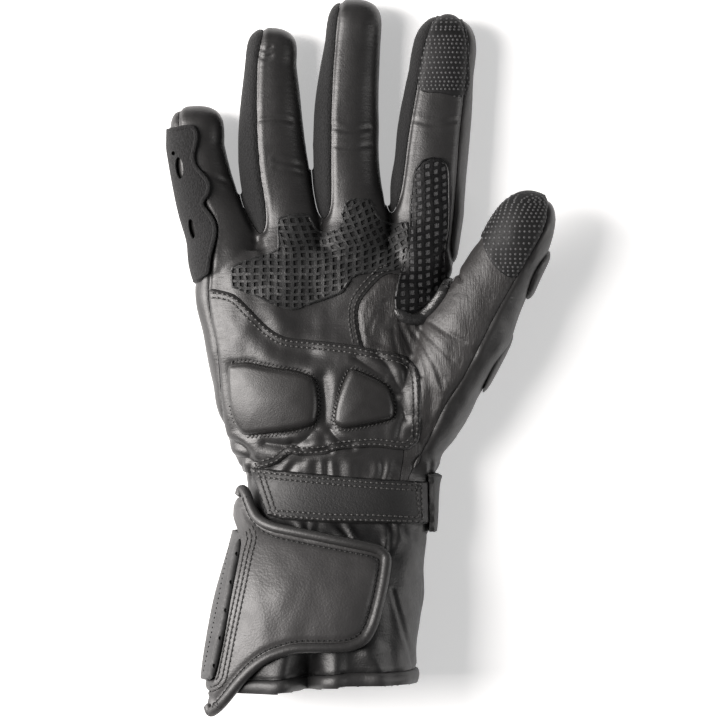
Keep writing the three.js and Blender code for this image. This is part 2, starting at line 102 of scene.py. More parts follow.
class Weave:
    # a short way to write node trees: each call adds a node and links what it is given
    def __init__(self, name):
        self.material = bpy.data.materials.new(name)
        self.material.use_nodes = True
        self.tree = self.material.node_tree
        self.shader = self.tree.nodes["Principled BSDF"]
        self.coordinates = self.tree.nodes.new("ShaderNodeTexCoord").outputs["Object"]

    def add(self, kind, inputs=None, **settings):
        node = self.tree.nodes.new(kind)
        for key, value in settings.items():
            setattr(node, key, value)
        for key, value in (inputs or {}).items():
            if isinstance(value, bpy.types.NodeSocket):
                self.tree.links.new(value, node.inputs[key])
            else:
                node.inputs[key].default_value = value
        return node

    def stretched(self, scale, turn=0.0):
        node = self.add("ShaderNodeMapping", {"Vector": self.coordinates, "Scale": scale})
        node.inputs["Rotation"].default_value = (0, 0, turn)
        return node.outputs["Vector"]

    def noise(self, size, detail=3.0, vector=None, rough=0.55):
        inputs = {"Vector": vector or self.coordinates, "Scale": 1000 / size,
                  "Detail": detail, "Roughness": rough}
        return self.add("ShaderNodeTexNoise", inputs).outputs["Fac"]

    def cells(self, size, feature="F1", vector=None):
        inputs = {"Vector": vector or self.coordinates, "Scale": 1000 / size}
        return self.add("ShaderNodeTexVoronoi", inputs, feature=feature).outputs["Distance"]

    def ramp(self, value, low, high, fromLow=0.3, fromHigh=0.7):
        inputs = {"Value": value, "From Min": fromLow, "From Max": fromHigh,
                  "To Min": low, "To Max": high}
        return self.add("ShaderNodeMapRange", inputs).outputs["Result"]

    def blend(self, value, first, second):
        # inputs 0, 6 and 7 of a colour mix are its factor and its two colours
        inputs = {0: value, 6: (*first, 1), 7: (*second, 1)}
        return self.add("ShaderNodeMix", inputs, data_type="RGBA").outputs[2]

    def bump(self, height, depth, strength=1.0, below=None):
        inputs = {"Height": height, "Distance": depth * 0.001, "Strength": strength}
        if below is not None:
            inputs["Normal"] = below
        return self.add("ShaderNodeBump", inputs).outputs["Normal"]

    def wire(self, socket, value):
        self.tree.links.new(value, self.shader.inputs[socket])

    def fix(self, socket, value):
        self.shader.inputs[socket].default_value = value


def shade(color, share):
    return tuple(min(1.0, channel * share) for channel in color)


leatherLooks = {
    # sizes and depths in millimetres
    "smooth": {"color": (0.0185, 0.0179, 0.0179), "gloss": 0.395, "grain": 0.62, "grainDepth": 0.05,
               "crinkle": 3.2, "crinkleDepth": 0.07, "streak": 0.0, "wrinkle": 0.1},
    "brushed": {"color": (0.023, 0.0217, 0.0214), "gloss": 0.44, "grain": 0.62, "grainDepth": 0.05,
                "crinkle": 3.0, "crinkleDepth": 0.12, "streak": 0.3, "wrinkle": 0.05},
    "cuff": {"color": (0.0085, 0.0084, 0.0086), "gloss": 0.45, "grain": 0.75, "grainDepth": 0.06,
             "crinkle": 4.0, "crinkleDepth": 0.16, "streak": 0.0, "wrinkle": 0.08},
    "pad": {"color": (0.0165, 0.0158, 0.0156), "gloss": 0.39, "grain": 0.6, "grainDepth": 0.04,
            "crinkle": 5.0, "crinkleDepth": 0.06, "streak": 0.0, "wrinkle": 0.0},
    # the flap's pebbled leather is lighter than the others: partly its own tone, partly a painted
    # highlight for the broad sheen on the flap
    "pebbled": {"color": (0.032, 0.031, 0.031), "gloss": 0.42, "grain": 0.85, "grainDepth": 0.075,
                "crinkle": 6.0, "crinkleDepth": 0.12, "streak": 0.0, "wrinkle": 0.0},
    "piping": {"color": (0.02, 0.0195, 0.0195), "gloss": 0.44, "grain": 0.7, "grainDepth": 0.05,
               "crinkle": 2.4, "crinkleDepth": 0.14, "streak": 0.0, "wrinkle": 0.0},
    "folded": {"color": (0.022, 0.0218, 0.022), "gloss": 0.26, "grain": 1.0, "grainDepth": 0.08,
               "crinkle": 2.4, "crinkleDepth": 0.45, "streak": 0.0, "wrinkle": 0.3},
    "strap": {"color": (0.008, 0.0079, 0.0081), "gloss": 0.54, "grain": 0.7, "grainDepth": 0.09,
              "crinkle": 3.4, "crinkleDepth": 0.12, "streak": 0.0, "wrinkle": 0.0},
    "tape": {"color": (0.02, 0.0197, 0.02), "gloss": 0.50, "grain": 0.8, "grainDepth": 0.05,
             "crinkle": 3.0, "crinkleDepth": 0.12, "streak": 0.0, "wrinkle": 0.0},
}

# what all the leathers share
leatherShare = {
    "patchSize": 18, "darker": 0.86, "lighter": 1.14, "glossier": 0.03, "duller": 0.05,
    "streakSize": 0.75, "streakStretch": (1.0, 0.14, 0.6), "streakTurn": -0.12,
    "wrinkleSize": 1.5, "wrinkleStretch": (0.12, 1.0, 0.4), "wrinkleTurn": 0.05,
}


def leatherMaterial(look):
    values = leatherLooks[look]
    share = leatherShare
    weave = Weave(look + "Leather")
    broad = weave.noise(share["patchSize"], 4)
    fine = weave.noise(values["crinkle"], 5, rough=0.62)
    grain = weave.cells(values["grain"], "SMOOTH_F1")
    tint = weave.ramp(broad, 0.0, 1.0)
    color = weave.blend(tint, shade(values["color"], share["darker"]),
                        shade(values["color"], share["lighter"]))
    weave.wire("Base Color", color)
    worn = weave.ramp(fine, values["gloss"] - share["glossier"], values["gloss"] + share["duller"])
    weave.wire("Roughness", worn)
    normal = weave.bump(fine, values["crinkleDepth"])
    if values["streak"]:
        along = weave.stretched(share["streakStretch"], share["streakTurn"])
        streaks = weave.noise(share["streakSize"], 4, along, 0.6)
        normal = weave.bump(streaks, values["streak"], below=normal)
    if values["wrinkle"]:
        across = weave.stretched(share["wrinkleStretch"], share["wrinkleTurn"])
        wrinkles = weave.noise(share["wrinkleSize"], 4, across, 0.6)
        normal = weave.bump(wrinkles, values["wrinkle"], below=normal)
    normal = weave.bump(grain, values["grainDepth"], below=normal)
    weave.wire("Normal", normal)
    return weave.material


# loops are drawn out along the cloth; depths in millimetres
fabricShare = {
    "stretch": (1.0, 0.55, 1.0), "turn": 0.2, "lighter": 1.3, "darker": 0.62, "sheenSpread": 0.5,
    "specular": 0.25, "loopDepth": 0.22, "softDepth": 0.3,
}


def fabricMaterial(name, color, stitchSize, fuzz):
    share = fabricShare
    weave = Weave(name)
    loops = weave.cells(stitchSize, "F1", weave.stretched(share["stretch"], share["turn"]))
    soft = weave.noise(stitchSize * 1.6, 3)
    mixed = weave.ramp(loops, 0.25, 1.0, 0.0, 0.75)
    tinted = weave.blend(mixed, shade(color, share["lighter"]), shade(color, share["darker"]))
    weave.wire("Base Color", tinted)
    weave.wire("Roughness", weave.ramp(soft, 0.82, 0.98))
    weave.fix("Sheen Weight", fuzz)
    weave.fix("Sheen Roughness", share["sheenSpread"])
    weave.fix("Specular IOR Level", share["specular"])
    normal = weave.bump(loops, share["loopDepth"])
    weave.wire("Normal", weave.bump(soft, share["softDepth"], below=normal))
    return weave.material


rubberShare = {"speck": 0.9, "patch": 7, "darker": 0.75, "lighter": 1.3, "glossier": 0.1,
               "duller": 0.14}


def rubberMaterial(name, color, gloss, pitted, shine=0.5):
    share = rubberShare
    weave = Weave(name)
    speck = weave.noise(share["speck"], 4)
    broad = weave.noise(share["patch"], 3)
    tint = weave.ramp(broad, 0.0, 1.0)
    tinted = weave.blend(tint, shade(color, share["darker"]), shade(color, share["lighter"]))
    weave.wire("Base Color", tinted)
    weave.wire("Roughness", weave.ramp(speck, gloss - share["glossier"], gloss + share["duller"]))
    weave.fix("Specular IOR Level", shine)
    weave.wire("Normal", weave.bump(speck, pitted))
    return weave.material


fabricLooks = {
    # look: name, color, loop size, fuzz
    "side": ("sideFabric", (0.014, 0.014, 0.0145), 0.6, 0.1),
    "suede": ("guardSuede", (0.018, 0.018, 0.0185), 0.6, 0.06),
    "ground": ("gripGround", (0.08, 0.08, 0.082), 0.5, 0.1),
    "lining": ("cuffLining", (0.02, 0.02, 0.021), 0.9, 0.15),
}
rubberLooks = {
    # look: name, color, gloss, pitting, shine
    "thread": ("stitchThread", (0.034, 0.033, 0.0325), 0.45, 0.05),
    "palmNet": ("palmNet", (0.017, 0.0172, 0.0174), 0.46, 0.2, 0.4),
    "webNet": ("webNet", (0.005, 0.005, 0.0053), 0.42, 0.12, 0.25),
    # near-black painted shade for the floors of the palm net's holes, the hollows in the guard and the
    # ridge, and the needle holes; the flap's darker thread uses it too
    "hole": ("holeShadeAndDarkThread", (0.004, 0.004, 0.0042), 0.7, 0.1),
    "dotGround": ("dottedGrip", (0.007, 0.007, 0.0073), 0.58, 0.06, 0.3),
    "dots": ("raisedDots", (0.048, 0.048, 0.049), 0.55, 0.03),
    "ridge": ("ridgeRubber", (0.03, 0.03, 0.0305), 0.6, 0.08),
}
materials = {look: leatherMaterial(look) for look in leatherLooks}
materials.update({look: fabricMaterial(*values) for look, values in fabricLooks.items()})
materials.update({look: rubberMaterial(*values) for look, values in rubberLooks.items()})
print("materials made")

# Small helpers


def addObject(name, mesh):
    piece = bpy.data.objects.new(name, mesh)
    bpy.context.scene.collection.objects.link(piece)
    return piece


def meshOf(bm, name="work"):
    mesh = bpy.data.meshes.new(name)
    bm.to_mesh(mesh)
    bm.free()
    return mesh


def bmeshOf(*meshes):
    bm = bmesh.new()
    for mesh in meshes:
        bm.from_mesh(mesh)
    return bm


def extruded(bm):
    # extrudes every face and gives back the new points
    grown = bmesh.ops.extrude_face_region(bm, geom=bm.faces[:])["geom"]
    return [item for item in grown if isinstance(item, bmesh.types.BMVert)]


def pointsOf(mesh):
    values = np.empty(len(mesh.vertices) * 3)
    mesh.vertices.foreach_get("co", values)
    return values.reshape(-1, 3)


def normalsOf(mesh):
    values = np.empty(len(mesh.vertices) * 3)
    mesh.vertex_normals.foreach_get("vector", values)
    return values.reshape(-1, 3)


def movePoints(mesh, points):
    mesh.vertices.foreach_set("co", points.ravel())
    mesh.update()


def smoothLine(points, steps=6, closed=False):
    # a soft curve through the points
    rows = np.array(points, float)
    if closed:
        rows = np.vstack([rows[-1], rows, rows[0], rows[1]])
    else:
        rows = np.vstack([2 * rows[0] - rows[1], rows, 2 * rows[-1] - rows[-2]])
    line = []
    for first, second, third, fourth in zip(rows, rows[1:], rows[2:], rows[3:]):
        for t in np.linspace(0, 1, steps, endpoint=False):
            line.append(0.5 * (2 * second + (third - first) * t
                               + (2 * first - 5 * second + 4 * third - fourth) * t * t
                               + (3 * second - first - 3 * third + fourth) * t ** 3))
    if not closed:
        line.append(rows[-2])
    return np.array(line)


farAway = 99.0  # stands for any distance beyond reach


def awayFrom(points, line, closed=False, reach=14):
    # plan distance of each point from a line
    line = np.array(line, float)
    if closed:
        line = np.vstack([line, line[0]])
    plan = points[:, :2]
    near = np.all((plan > line.min(axis=0) - reach) & (plan < line.max(axis=0) + reach), axis=1)
    plan = plan[near]
    best = np.full(len(plan), farAway)
    for start, end in zip(line, line[1:]):
        along = end - start
        offset = plan - start
        share = np.clip(offset @ along / max(along @ along, 1e-9), 0, 1)
        best = np.minimum(best, np.hypot(*(offset - share[:, None] * along).T))
    away = np.full(len(points), farAway)
    away[near] = best
    return away


def shifted(line, distance):
    # the line moved to its left by the distance
    line = np.array(line, float)
    step = np.gradient(line, axis=0)
    step /= np.maximum(np.hypot(step[:, 0], step[:, 1]), 1e-9)[:, None]
    return line + np.stack([-step[:, 1], step[:, 0]], axis=1) * distance


def evenly(line, pitch):
    line = np.array(line, float)
    lengths = np.concatenate([[0], np.cumsum(np.hypot(*np.diff(line, axis=0).T))])
    spots = np.arange(pitch / 2, lengths[-1], pitch)
    return np.stack([np.interp(spots, lengths, line[:, 0]), np.interp(spots, lengths, line[:, 1])], 1)


def between(value, low, high):
    share = np.clip((value - low) / (high - low), 0, 1)
    return share * share * (3 - 2 * share)


def noiseAt(points, size, seed):
    # smooth noise, with its own size along each axis
    scaled = points / np.array(size) + seed
    return np.array([noise.noise(Vector(point)) for point in scaled])


blockSpan = (-30.0, 110.0)  # lowest and highest level of a cutting block


def prismMesh(outline, low=blockSpan[0], high=blockSpan[1]):
    # the outline stood up as a cutting block; its faces carry the second material
    bm = bmesh.new()
    bm.faces.new([bm.verts.new((x, y, low)) for x, y in outline])
    bmesh.ops.translate(bm, vec=(0, 0, high - low), verts=extruded(bm))
    bmesh.ops.recalc_face_normals(bm, faces=bm.faces)
    bmesh.ops.triangulate(bm, faces=bm.faces)
    for face in bm.faces:
        face.material_index = 1
    mesh = meshOf(bm, "block")
    giveSlots(mesh)
    return mesh


def giveSlots(mesh, looks=("smooth", "hole", "ground")):
    # gives the mesh these materials and keeps each face's place in the list
    indexes = np.empty(len(mesh.polygons), dtype=np.int32)
    mesh.polygons.foreach_get("material_index", indexes)
    mesh.materials.clear()
    for look in looks:
        mesh.materials.append(materials[look])
    mesh.polygons.foreach_set("material_index", np.minimum(indexes, len(looks) - 1).astype(np.int32))


def ribbonMesh(line, width):
    edge = shifted(line, width / 2)
    other = shifted(line, -width / 2)[::-1]
    return prismMesh(np.vstack([edge, other]))


def cutMesh(mesh, block, operation):
    body = addObject("body", mesh)
    cutter = addObject("cutter", block)
    step = body.modifiers.new("cut", "BOOLEAN")
    step.solver = "MANIFOLD"
    step.operation = operation
    step.object = cutter
    graph = bpy.context.evaluated_depsgraph_get()
    result = bpy.data.meshes.new_from_object(body.evaluated_get(graph))
    bpy.data.objects.remove(body)
    bpy.data.objects.remove(cutter)
    return result


def looseParts(mesh):
    # splits a mesh into its separate solids, the largest first
    body = addObject("loose", mesh)
    bpy.ops.object.select_all(action="DESELECT")
    body.select_set(True)
    bpy.context.view_layer.objects.active = body
    bpy.ops.mesh.separate(type="LOOSE")
    parts = list(bpy.context.selected_objects)
    meshes = sorted((item.data for item in parts), key=lambda data: -len(data.vertices))
    for item in parts:
        bpy.data.objects.remove(item)
    return meshes


pieces = []


def finishPiece(name, mesh, looks, nodes=(), sharpAngle=42):
    # moves a mesh into the frame, shades it and ties it to the glove
    mesh.transform(toFrame)
    giveSlots(mesh, looks)
    mesh.polygons.foreach_set("use_smooth", np.ones(len(mesh.polygons), dtype=bool))
    mesh.set_sharp_from_angle(angle=math.radians(sharpAngle))
    mesh.name = name
    piece = addObject(name, mesh)
    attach(piece, "root")
    if nodes:
        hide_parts(*nodes)
    pieces.append(piece)
    return piece


# The hand's form

handForm = {
    "voxel": 0.85, "smooth": 10, "hollowVoxel": 2.0, "hollowSmooth": 2, "wall": 2.7, "sides": 48,
    "limbPower": 2.3, "bodyPower": 2.5, "deepest": 1.8, "cuffSmooth": 4,
}

# columns: y, left, right, low, high
bodyRows = [
    (-162.5, -67, 27.5, -1.5, 61), (-148.5, -68.2, 27.2, -1.5, 61), (-140, -67.8, 26, -1.5, 61),
    (-126, -66, 25.8, -1.5, 61), (-108, -62.6, 27.5, -1.5, 60), (-94, -59, 28, -1.5, 57),
    (-82, -55, 29.6, -1.5, 52), (-73, -52.5, 31, -1.5, 45.5), (-62, -51, 31.5, -1.5, 42),
    (-53, -50.8, 32.5, -1.5, 41), (-45, -54.4, 36, -1.5, 41.5), (-36, -58.5, 38, -1.5, 42),
    (-22, -64, 39, -1.5, 42), (-8, -66.8, 39, -1.5, 41), (9, -70.5, 39, -1.5, 39),
    (27, -74, 40, -1.5, 37), (40, -73, 40, -1.2, 35), (49, -70, 38, 0, 31),
]
# columns: x, y, z, width, height; the tip is where the last section rounds off to
fingers = {
    "little": {"tip": (-73.5, 115.4, 12.7), "blunt": 4.5, "rows": [
        (-56, 22, 14, 20, 18), (-59.4, 41, 15.5, 31, 29), (-61.4, 56.3, 14, 31.5, 26),
        (-67.3, 69.8, 13, 27.5, 24.5), (-71.1, 83.3, 12.7, 25.4, 23.5), (-73.8, 96.8, 12.5, 24.7, 22.5),
    ]},
    "ring": {"tip": (-39.2, 150.4, 13), "blunt": 4.5, "rows": [
        (-31, 20, 14, 24, 22), (-31.5, 41, 17, 33, 32), (-32.9, 60.8, 14.8, 31.5, 28),
        (-37.1, 76.5, 14, 32.5, 26.5), (-39.4, 90, 13.8, 31.5, 26), (-40.4, 105.8, 13.5, 29.5, 25),
        (-40.5, 121.5, 13.2, 26, 24), (-40.3, 134, 13, 23.2, 22),
    ]},
    "middle": {"tip": (-1.7, 163.4, 13.2), "blunt": 4.5, "rows": [
        (-4, 20, 14, 26, 22), (-3.6, 41, 17.5, 34, 33), (-2.6, 62.1, 15, 32, 29),
        (-5.4, 76.5, 14.5, 31, 27.5), (-6.4, 92.3, 14.2, 30, 27), (-6.2, 110.3, 13.8, 29.4, 26),
        (-4.9, 128.3, 13.5, 27.2, 25), (-3.2, 144, 13.3, 25.2, 23.5),
    ]},
    "index": {"tip": (40.6, 155.8, 13.2), "blunt": 3.8, "rows": [
        (23, 20, 13, 22, 18), (26, 41, 17, 31, 32), (30, 60.8, 15, 32.5, 29),
        (30.6, 76.5, 14.5, 34, 28), (32.2, 90, 14.2, 33, 27.5), (33.3, 103.5, 13.9, 33, 27),
        (35.1, 117, 13.6, 32, 26), (36.9, 130.5, 13.4, 29.5, 25),
    ]},
    "thumb": {"tip": (80.9, 74.2, 33.8), "blunt": 2.9, "rows": [
        (20, -53, 18, 14, 18), (24, -39, 20, 26, 30), (30, -22, 23, 36, 39),
        (39.5, -3, 25.5, 38.5, 38), (49.3, 15.8, 28, 38.5, 34), (58.6, 32.2, 30, 33.4, 30.5),
        (67, 47, 31.8, 29.8, 28),
    ]},
}

# hollows pressed into the palm side: x, y, across, along, depth
dents = [(-14, 20, 22, 20, 2.0), (27, 22, 12, 16, 2.0), (-14, -20, 6, 16, 1.4)]

# the cuff's deep fold on the palm side, between two bulges
cuffFold = {"line": [(-21.5, -124), (-22.5, -136), (-24.5, -152)], "width": 5.0, "depth": 13.0,
            "bulge": 2.0, "bulgeAt": 2.4, "from": 120, "to": 142}


def addRing(bm, middle, side, width, height, power, sides):
    ring = bmesh.ops.create_circle(bm, segments=sides, radius=1)["verts"]
    for vert in ring:
        across = math.copysign(abs(vert.co.x) ** (2 / power), vert.co.x) * width / 2
        up = math.copysign(abs(vert.co.y) ** (2 / power), vert.co.y) * height / 2
        vert.co = middle + side * across + Vector((0, 0, up))
    return ring


def edgesOf(ring):
    chosen = set(ring)
    return [edge for vert in ring for edge in vert.link_edges if set(edge.verts) <= chosen]


def loftRings(bm, rings):
    for first, second in zip(rings, rings[1:]):
        loops = dict.fromkeys(edgesOf(first) + edgesOf(second))
        bmesh.ops.bridge_loops(bm, edges=list(loops))
    bmesh.ops.contextual_create(bm, geom=rings[0])
    bmesh.ops.contextual_create(bm, geom=rings[-1])


tipCap = {"from": 0.12, "to": 0.93, "rings": 9, "power": 2.2}  # shares of the way to the tip


def limbLine(name):
    # sections from the root to the rounded tip
    limb = fingers[name]
    line = smoothLine(limb["rows"], 4)
    last = line[-1]
    cap = []
    for share in np.linspace(tipCap["from"], tipCap["to"], tipCap["rings"]):
        along = 1 - (1 - share) ** 2
        size = (1 - along ** limb["blunt"]) ** (1 / tipCap["power"])
        middle = last[:3] + (np.array(limb["tip"]) - last[:3]) * along
        cap.append([*middle, last[3] * size, last[4] * size])
    return np.vstack([line, cap])


def limbMesh(bm, name, grow, sides):
    line = limbLine(name)
    steps = np.gradient(line[:, :2], axis=0)
    rings = []
    for row, step in zip(line, steps):
        along = Vector((step[0], step[1], 0)).normalized()
        middle = Vector(row[:3])
        side = Vector((along.y, -along.x, 0))
        width = max(row[3] + 2 * grow, 1)
        height = max(row[4] + 2 * grow, 1)
        rings.append(addRing(bm, middle, side, width, height, handForm["limbPower"], sides))
    loftRings(bm, rings)


def bodyMesh(bm, rows, grow, sides):
    rings = []
    end = rows[-1][0] + grow
    for y, left, right, low, high in smoothLine(rows, 4):
        middle = Vector(((left + right) / 2, min(y, end), (low + high) / 2))
        width = right - left + 2 * grow
        height = high - low + 2 * grow
        rings.append(addRing(bm, middle, Vector((1, 0, 0)), width, height, handForm["bodyPower"],
                             sides))
    loftRings(bm, rings)


def handMesh(grow, voxel, smooth):
    bm = bmesh.new()
    bodyMesh(bm, bodyRows, grow, handForm["sides"] * 2)
    for name in fingers:
        limbMesh(bm, name, grow, handForm["sides"])
    return joinedForm(bm, voxel, smooth)


def joinedForm(bm, voxel, smooth):
    # overlapping closed forms made one skin
    bmesh.ops.recalc_face_normals(bm, faces=bm.faces)
    body = addObject("form", meshOf(bm, "form"))
    join = body.modifiers.new("join", "REMESH")
    join.mode = "VOXEL"
    join.voxel_size = voxel
    soften = body.modifiers.new("soften", "SMOOTH")
    soften.factor = 0.5
    soften.iterations = smooth
    graph = bpy.context.evaluated_depsgraph_get()
    mesh = bpy.data.meshes.new_from_object(body.evaluated_get(graph))
    bpy.data.objects.remove(body)
    return mesh


def palmShare(points):
    # 0 low on the sides, 1 on the palm side
    return between(points[:, 2], 10, 24)


def pressForm(points):
    # the large hollows, in the outside and the lining alike
    share = palmShare(points)
    for x, y, across, along, depth in dents:
        u = (points[:, 0] - x) / across
        v = (points[:, 1] - y) / along
        points[:, 2] -= share * depth * np.exp(-u * u - v * v)
    fold = cuffFold
    away = awayFrom(points, smoothLine(fold["line"]), reach=45)
    width = fold["width"]
    deep = between(-points[:, 1], fold["from"], fold["to"])
    points[:, 2] -= share * deep * fold["depth"] * np.exp(-(away / width) ** 2)
    beside = (away - fold["bulgeAt"] * width) / width
    points[:, 2] += share * deep * fold["bulge"] * np.exp(-beside ** 2)
    return points


def flattenBelow(points, level):
    points[:, 2] = np.maximum(points[:, 2], level)
    return points


print("making the hand's form")
plainForm = handMesh(0, handForm["voxel"], handForm["smooth"])
movePoints(plainForm, flattenBelow(pressForm(pointsOf(plainForm)), 0))
giveSlots(plainForm)
liningForm = handMesh(-handForm["wall"], handForm["hollowVoxel"], handForm["hollowSmooth"])
movePoints(liningForm, flattenBelow(pressForm(pointsOf(liningForm)), handForm["wall"]))
liningForm.materials.append(materials["smooth"])
print("form has", len(plainForm.vertices), "points, lining", len(liningForm.vertices))

# what the flap and the side ridge lie on: the cuff, a little wider at the little finger side
flapRows = [
    (-162.5, -69.4, 27.5, -1.5, 61), (-148.5, -70.2, 27.2, -1.5, 61), (-140, -69.8, 26, -1.5, 61),
    (-126, -67.8, 25.8, -1.5, 61), (-108, -64.4, 27.5, -1.5, 60.4), (-94, -60.6, 28, -1.5, 57.6),
    (-82, -57.2, 28.8, -1.5, 53), (-73, -55.4, 29.6, -1.5, 47.5), (-62, -54.8, 30, -1.5, 44),
    (-50, -54, 32, -1.5, 42),
]


def cuffForm():
    bm = bmesh.new()
    bodyMesh(bm, flapRows, 0, handForm["sides"] * 2)
    mesh = joinedForm(bm, handForm["voxel"], handForm["cuffSmooth"])
    movePoints(mesh, flattenBelow(pointsOf(mesh), 0))
    giveSlots(mesh)
    return mesh


flapForm = cuffForm()

# Seams

# lines in plan on the palm side
seams = {
    "ringLeft": [(-43, 154), (-44.5, 144), (-46.4, 132), (-46.4, 105), (-45, 85), (-43, 72),
                 (-42.5, 61), (-45, 57), (-49, 62), (-53, 70), (-55, 78), (-57, 88)],
    "middleLeft": [(-7, 168), (-9.8, 157), (-11.5, 140), (-12.8, 115), (-13, 90), (-13.2, 70),
                   (-16, 64), (-19, 67), (-21, 76), (-21.8, 84), (-22.7, 95)],
    "indexLeft": [(40.5, 160), (33, 152), (29, 142), (25.5, 122), (22, 102), (20, 86), (18, 74),
                  (15, 67), (12.5, 69), (11.9, 78), (11.9, 88)],
    "indexRight": [(41.5, 160), (46, 152), (48.4, 140), (47.2, 122), (44.8, 100), (43.6, 82),
                   (42, 62), (41, 50), (43.4, 40), (45, 36)],
    "outerSide": [(-80, 119), (-82, 108), (-78, 90), (-71, 72), (-66, 60), (-67.5, 40),
                  (-67.8, 25), (-64, 5), (-62.3, -15), (-60, -32), (-54, -52), (-52, -66)],
    "palmCurve": [(56, 64), (50, 54), (45.8, 45), (43.4, 40), (40.6, 34), (34, 31.5), (26, 34),
                  (13.8, 38.8), (5, 32.5), (-1, 22), (2, 4), (10, -14), (17, -28), (19.5, -40),
                  (18, -52), (16, -66)],
    "thumbSide": [(84, 80), (83, 63), (79, 53), (68, 34), (58, 16), (46.5, -7), (37.5, -21),
                  (30, -37), (22, -52), (19, -66)],
}
# seams across the wrist and the cuff; the strap covers the first two
crossSeams = {
    "wrist": [(-150, -52.5), (-50, -52.5), (-35.1, -53.2), (-14.7, -55), (5.8, -56.8), (26, -58),
              (150, -58)],
    "cuff": [(-150, -66), (-50, -66), (-35.1, -67.6), (-14.7, -69.4), (5.8, -69.8), (150, -69.8)],
    "hem": [(-150, -141.6), (-40, -141.2), (-22, -139.8), (-6, -138), (150, -137.6)],
}
hemEnd = [(-150, -148.2), (-40, -147.8), (-22, -146.4), (-6, -144.6), (150, -144.2)]
seamLook = {"gap": 0.3, "fine": 0.04, "width": 1.0, "depth": 0.8, "roll": 0.1, "rollAt": 2.6}

# level of the side seam round the hand and the thumb, seen from the fingertips: x, z
sideSeamLevel = [(-110, 7.5), (46, 7.5), (58, 20), (76, 27), (100, 30)]

# Outlines in plan of what lies on the palm side

outlines = {
    "palmGrip": [(-57.6, 33), (-58, 40), (-55.8, 43.1), (-45.3, 47), (-38.9, 49), (-37.1, 51),
                 (-37.4, 62), (-34.8, 64.8), (-29.5, 65.6), (-23.7, 65.7), (-21.7, 63.4),
                 (-19.2, 59), (-15.8, 57.5), (-11.2, 58.5), (-8.6, 61.4), (-8.2, 67), (-5.9, 71.6),
                 (-2, 72.5), (4.5, 72.2), (6.5, 67.9), (10.5, 63), (17, 61.7), (20.9, 62),
                 (21.4, 54), (19.6, 42), (7.1, 39.4), (-2, 37.8), (-5.9, 33.2), (-9.2, 29.6),
                 (-22.3, 25), (-30.8, 22.4), (-38.9, 24.7), (-46.6, 28.1), (-55.1, 31.6)],
    "webGrip": [(24.3, 85), (27.5, 89.3), (31, 91), (35, 91), (38, 89.6), (40, 86.5), (40.6, 80),
                (40.6, 61), (39.2, 52), (38.5, 46), (39.5, 36), (37, 30), (30, 24.8), (24, 21.4),
                (16.8, 20.6), (15.5, 27), (17, 36), (20, 47), (21.6, 54), (22.1, 68), (23, 78)],
    "heelPanel": [(-67.2, 31.6), (-62.3, 31.2), (-56.1, 29.2), (-50.8, 24.5), (-44.1, 17.6),
                  (-38.5, 12.9), (-32.9, 10.2), (-23.6, 9.1), (-13.4, 8), (-3.1, 6.7), (7.1, 4.6),
                  (17.4, 2.7), (22.7, 0), (26.3, -5.6), (27.2, -14.5), (27.2, -24.5),
                  (26.6, -34.7), (24, -38.3), (19.4, -40.3), (7.1, -39), (-3.1, -39.6),
                  (-9.8, -40.3), (-16.7, -42.3), (-26.9, -42.7), (-31.2, -42.3), (-37.2, -46.5),
                  (-46.3, -49.5), (-52.6, -50), (-56.8, -41), (-59.4, -32), (-61.2, -22),
                  (-62, -8), (-63.4, 5), (-66.2, 16), (-67.2, 26)],
    "padOuter": [(-58.2, -5), (-56.8, -1.8), (-52, -1), (-48.6, -1.2), (-42.6, -2.5),
                 (-35.7, -3.9), (-28.9, -4.9), (-23.5, -6.6), (-20.4, -8.9), (-19.1, -14.4),
                 (-18.8, -21.2), (-19.7, -27), (-22.2, -29.3), (-28.9, -31.1), (-37.1, -32.4),
                 (-43.9, -33.1), (-49.9, -33.4), (-52.7, -31.4), (-55.5, -26.6), (-57.4, -17.8)],
    "padInner": [(-4.1, -4.6), (-1.8, -4.6), (3.7, -6.9), (9.1, -9.6), (12.4, -12.4),
                 (14.6, -19.1), (14.9, -23.3), (13.6, -26.2), (7.1, -28), (-3.1, -30.1),
                 (-7.8, -30.4), (-10.9, -28.3), (-11.2, -25.3), (-9.9, -18.5), (-7.8, -11.7),
                 (-5.8, -6.9)],
    "indexTip": [(40.5, 160), (33.6, 154), (29, 141), (26.4, 122.6), (36, 120), (48, 119.8),
                 (49.2, 138), (47, 152)],
    "thumbTip": [(82, 80), (65, 74), (50, 60), (54.4, 55.3), (55.4, 50.1), (57.9, 44.4),
                 (62.9, 38.8), (69, 37), (75.4, 46.6), (81, 57), (83.4, 66)],
    "littleGuard": [(-96, 104.5), (-87.5, 104.8), (-83.1, 105.1), (-79.2, 105.8), (-75.5, 105.8),
                    (-73.4, 103.4), (-72.8, 100), (-73.7, 95.2), (-74.4, 91.7), (-73.4, 87.6),
                    (-70.3, 84.1), (-67.8, 80.7), (-67.2, 78), (-67.8, 74.6), (-69.9, 71.4),
                    (-69.9, 69.4), (-66.9, 65.6), (-64.8, 61.5), (-64.4, 56.6), (-65.5, 51.2),
                    (-66.9, 45.6), (-67.5, 40.2), (-68.9, 38), (-75, 34), (-96, 33)],
    "strap": [(-48.3, -47.8), (-35.1, -49.2), (-14.7, -51.1), (5.8, -52.9), (26.2, -54.2),
              (29, -54.4), (29, -73.4), (5.8, -73), (-14.7, -72.7), (-35.1, -71.2),
              (-41, -69.4)],
    "keeper": [(29.2, -50.4), (46, -50), (46, -77), (29.2, -77)],
    "sideRidge": [(-52.4, -77.2), (-51.4, -79), (-53, -86), (-55.8, -100), (-59.2, -116),
                  (-62.8, -134), (-65, -141), (-72, -143), (-95, -143), (-90, -77)],
}
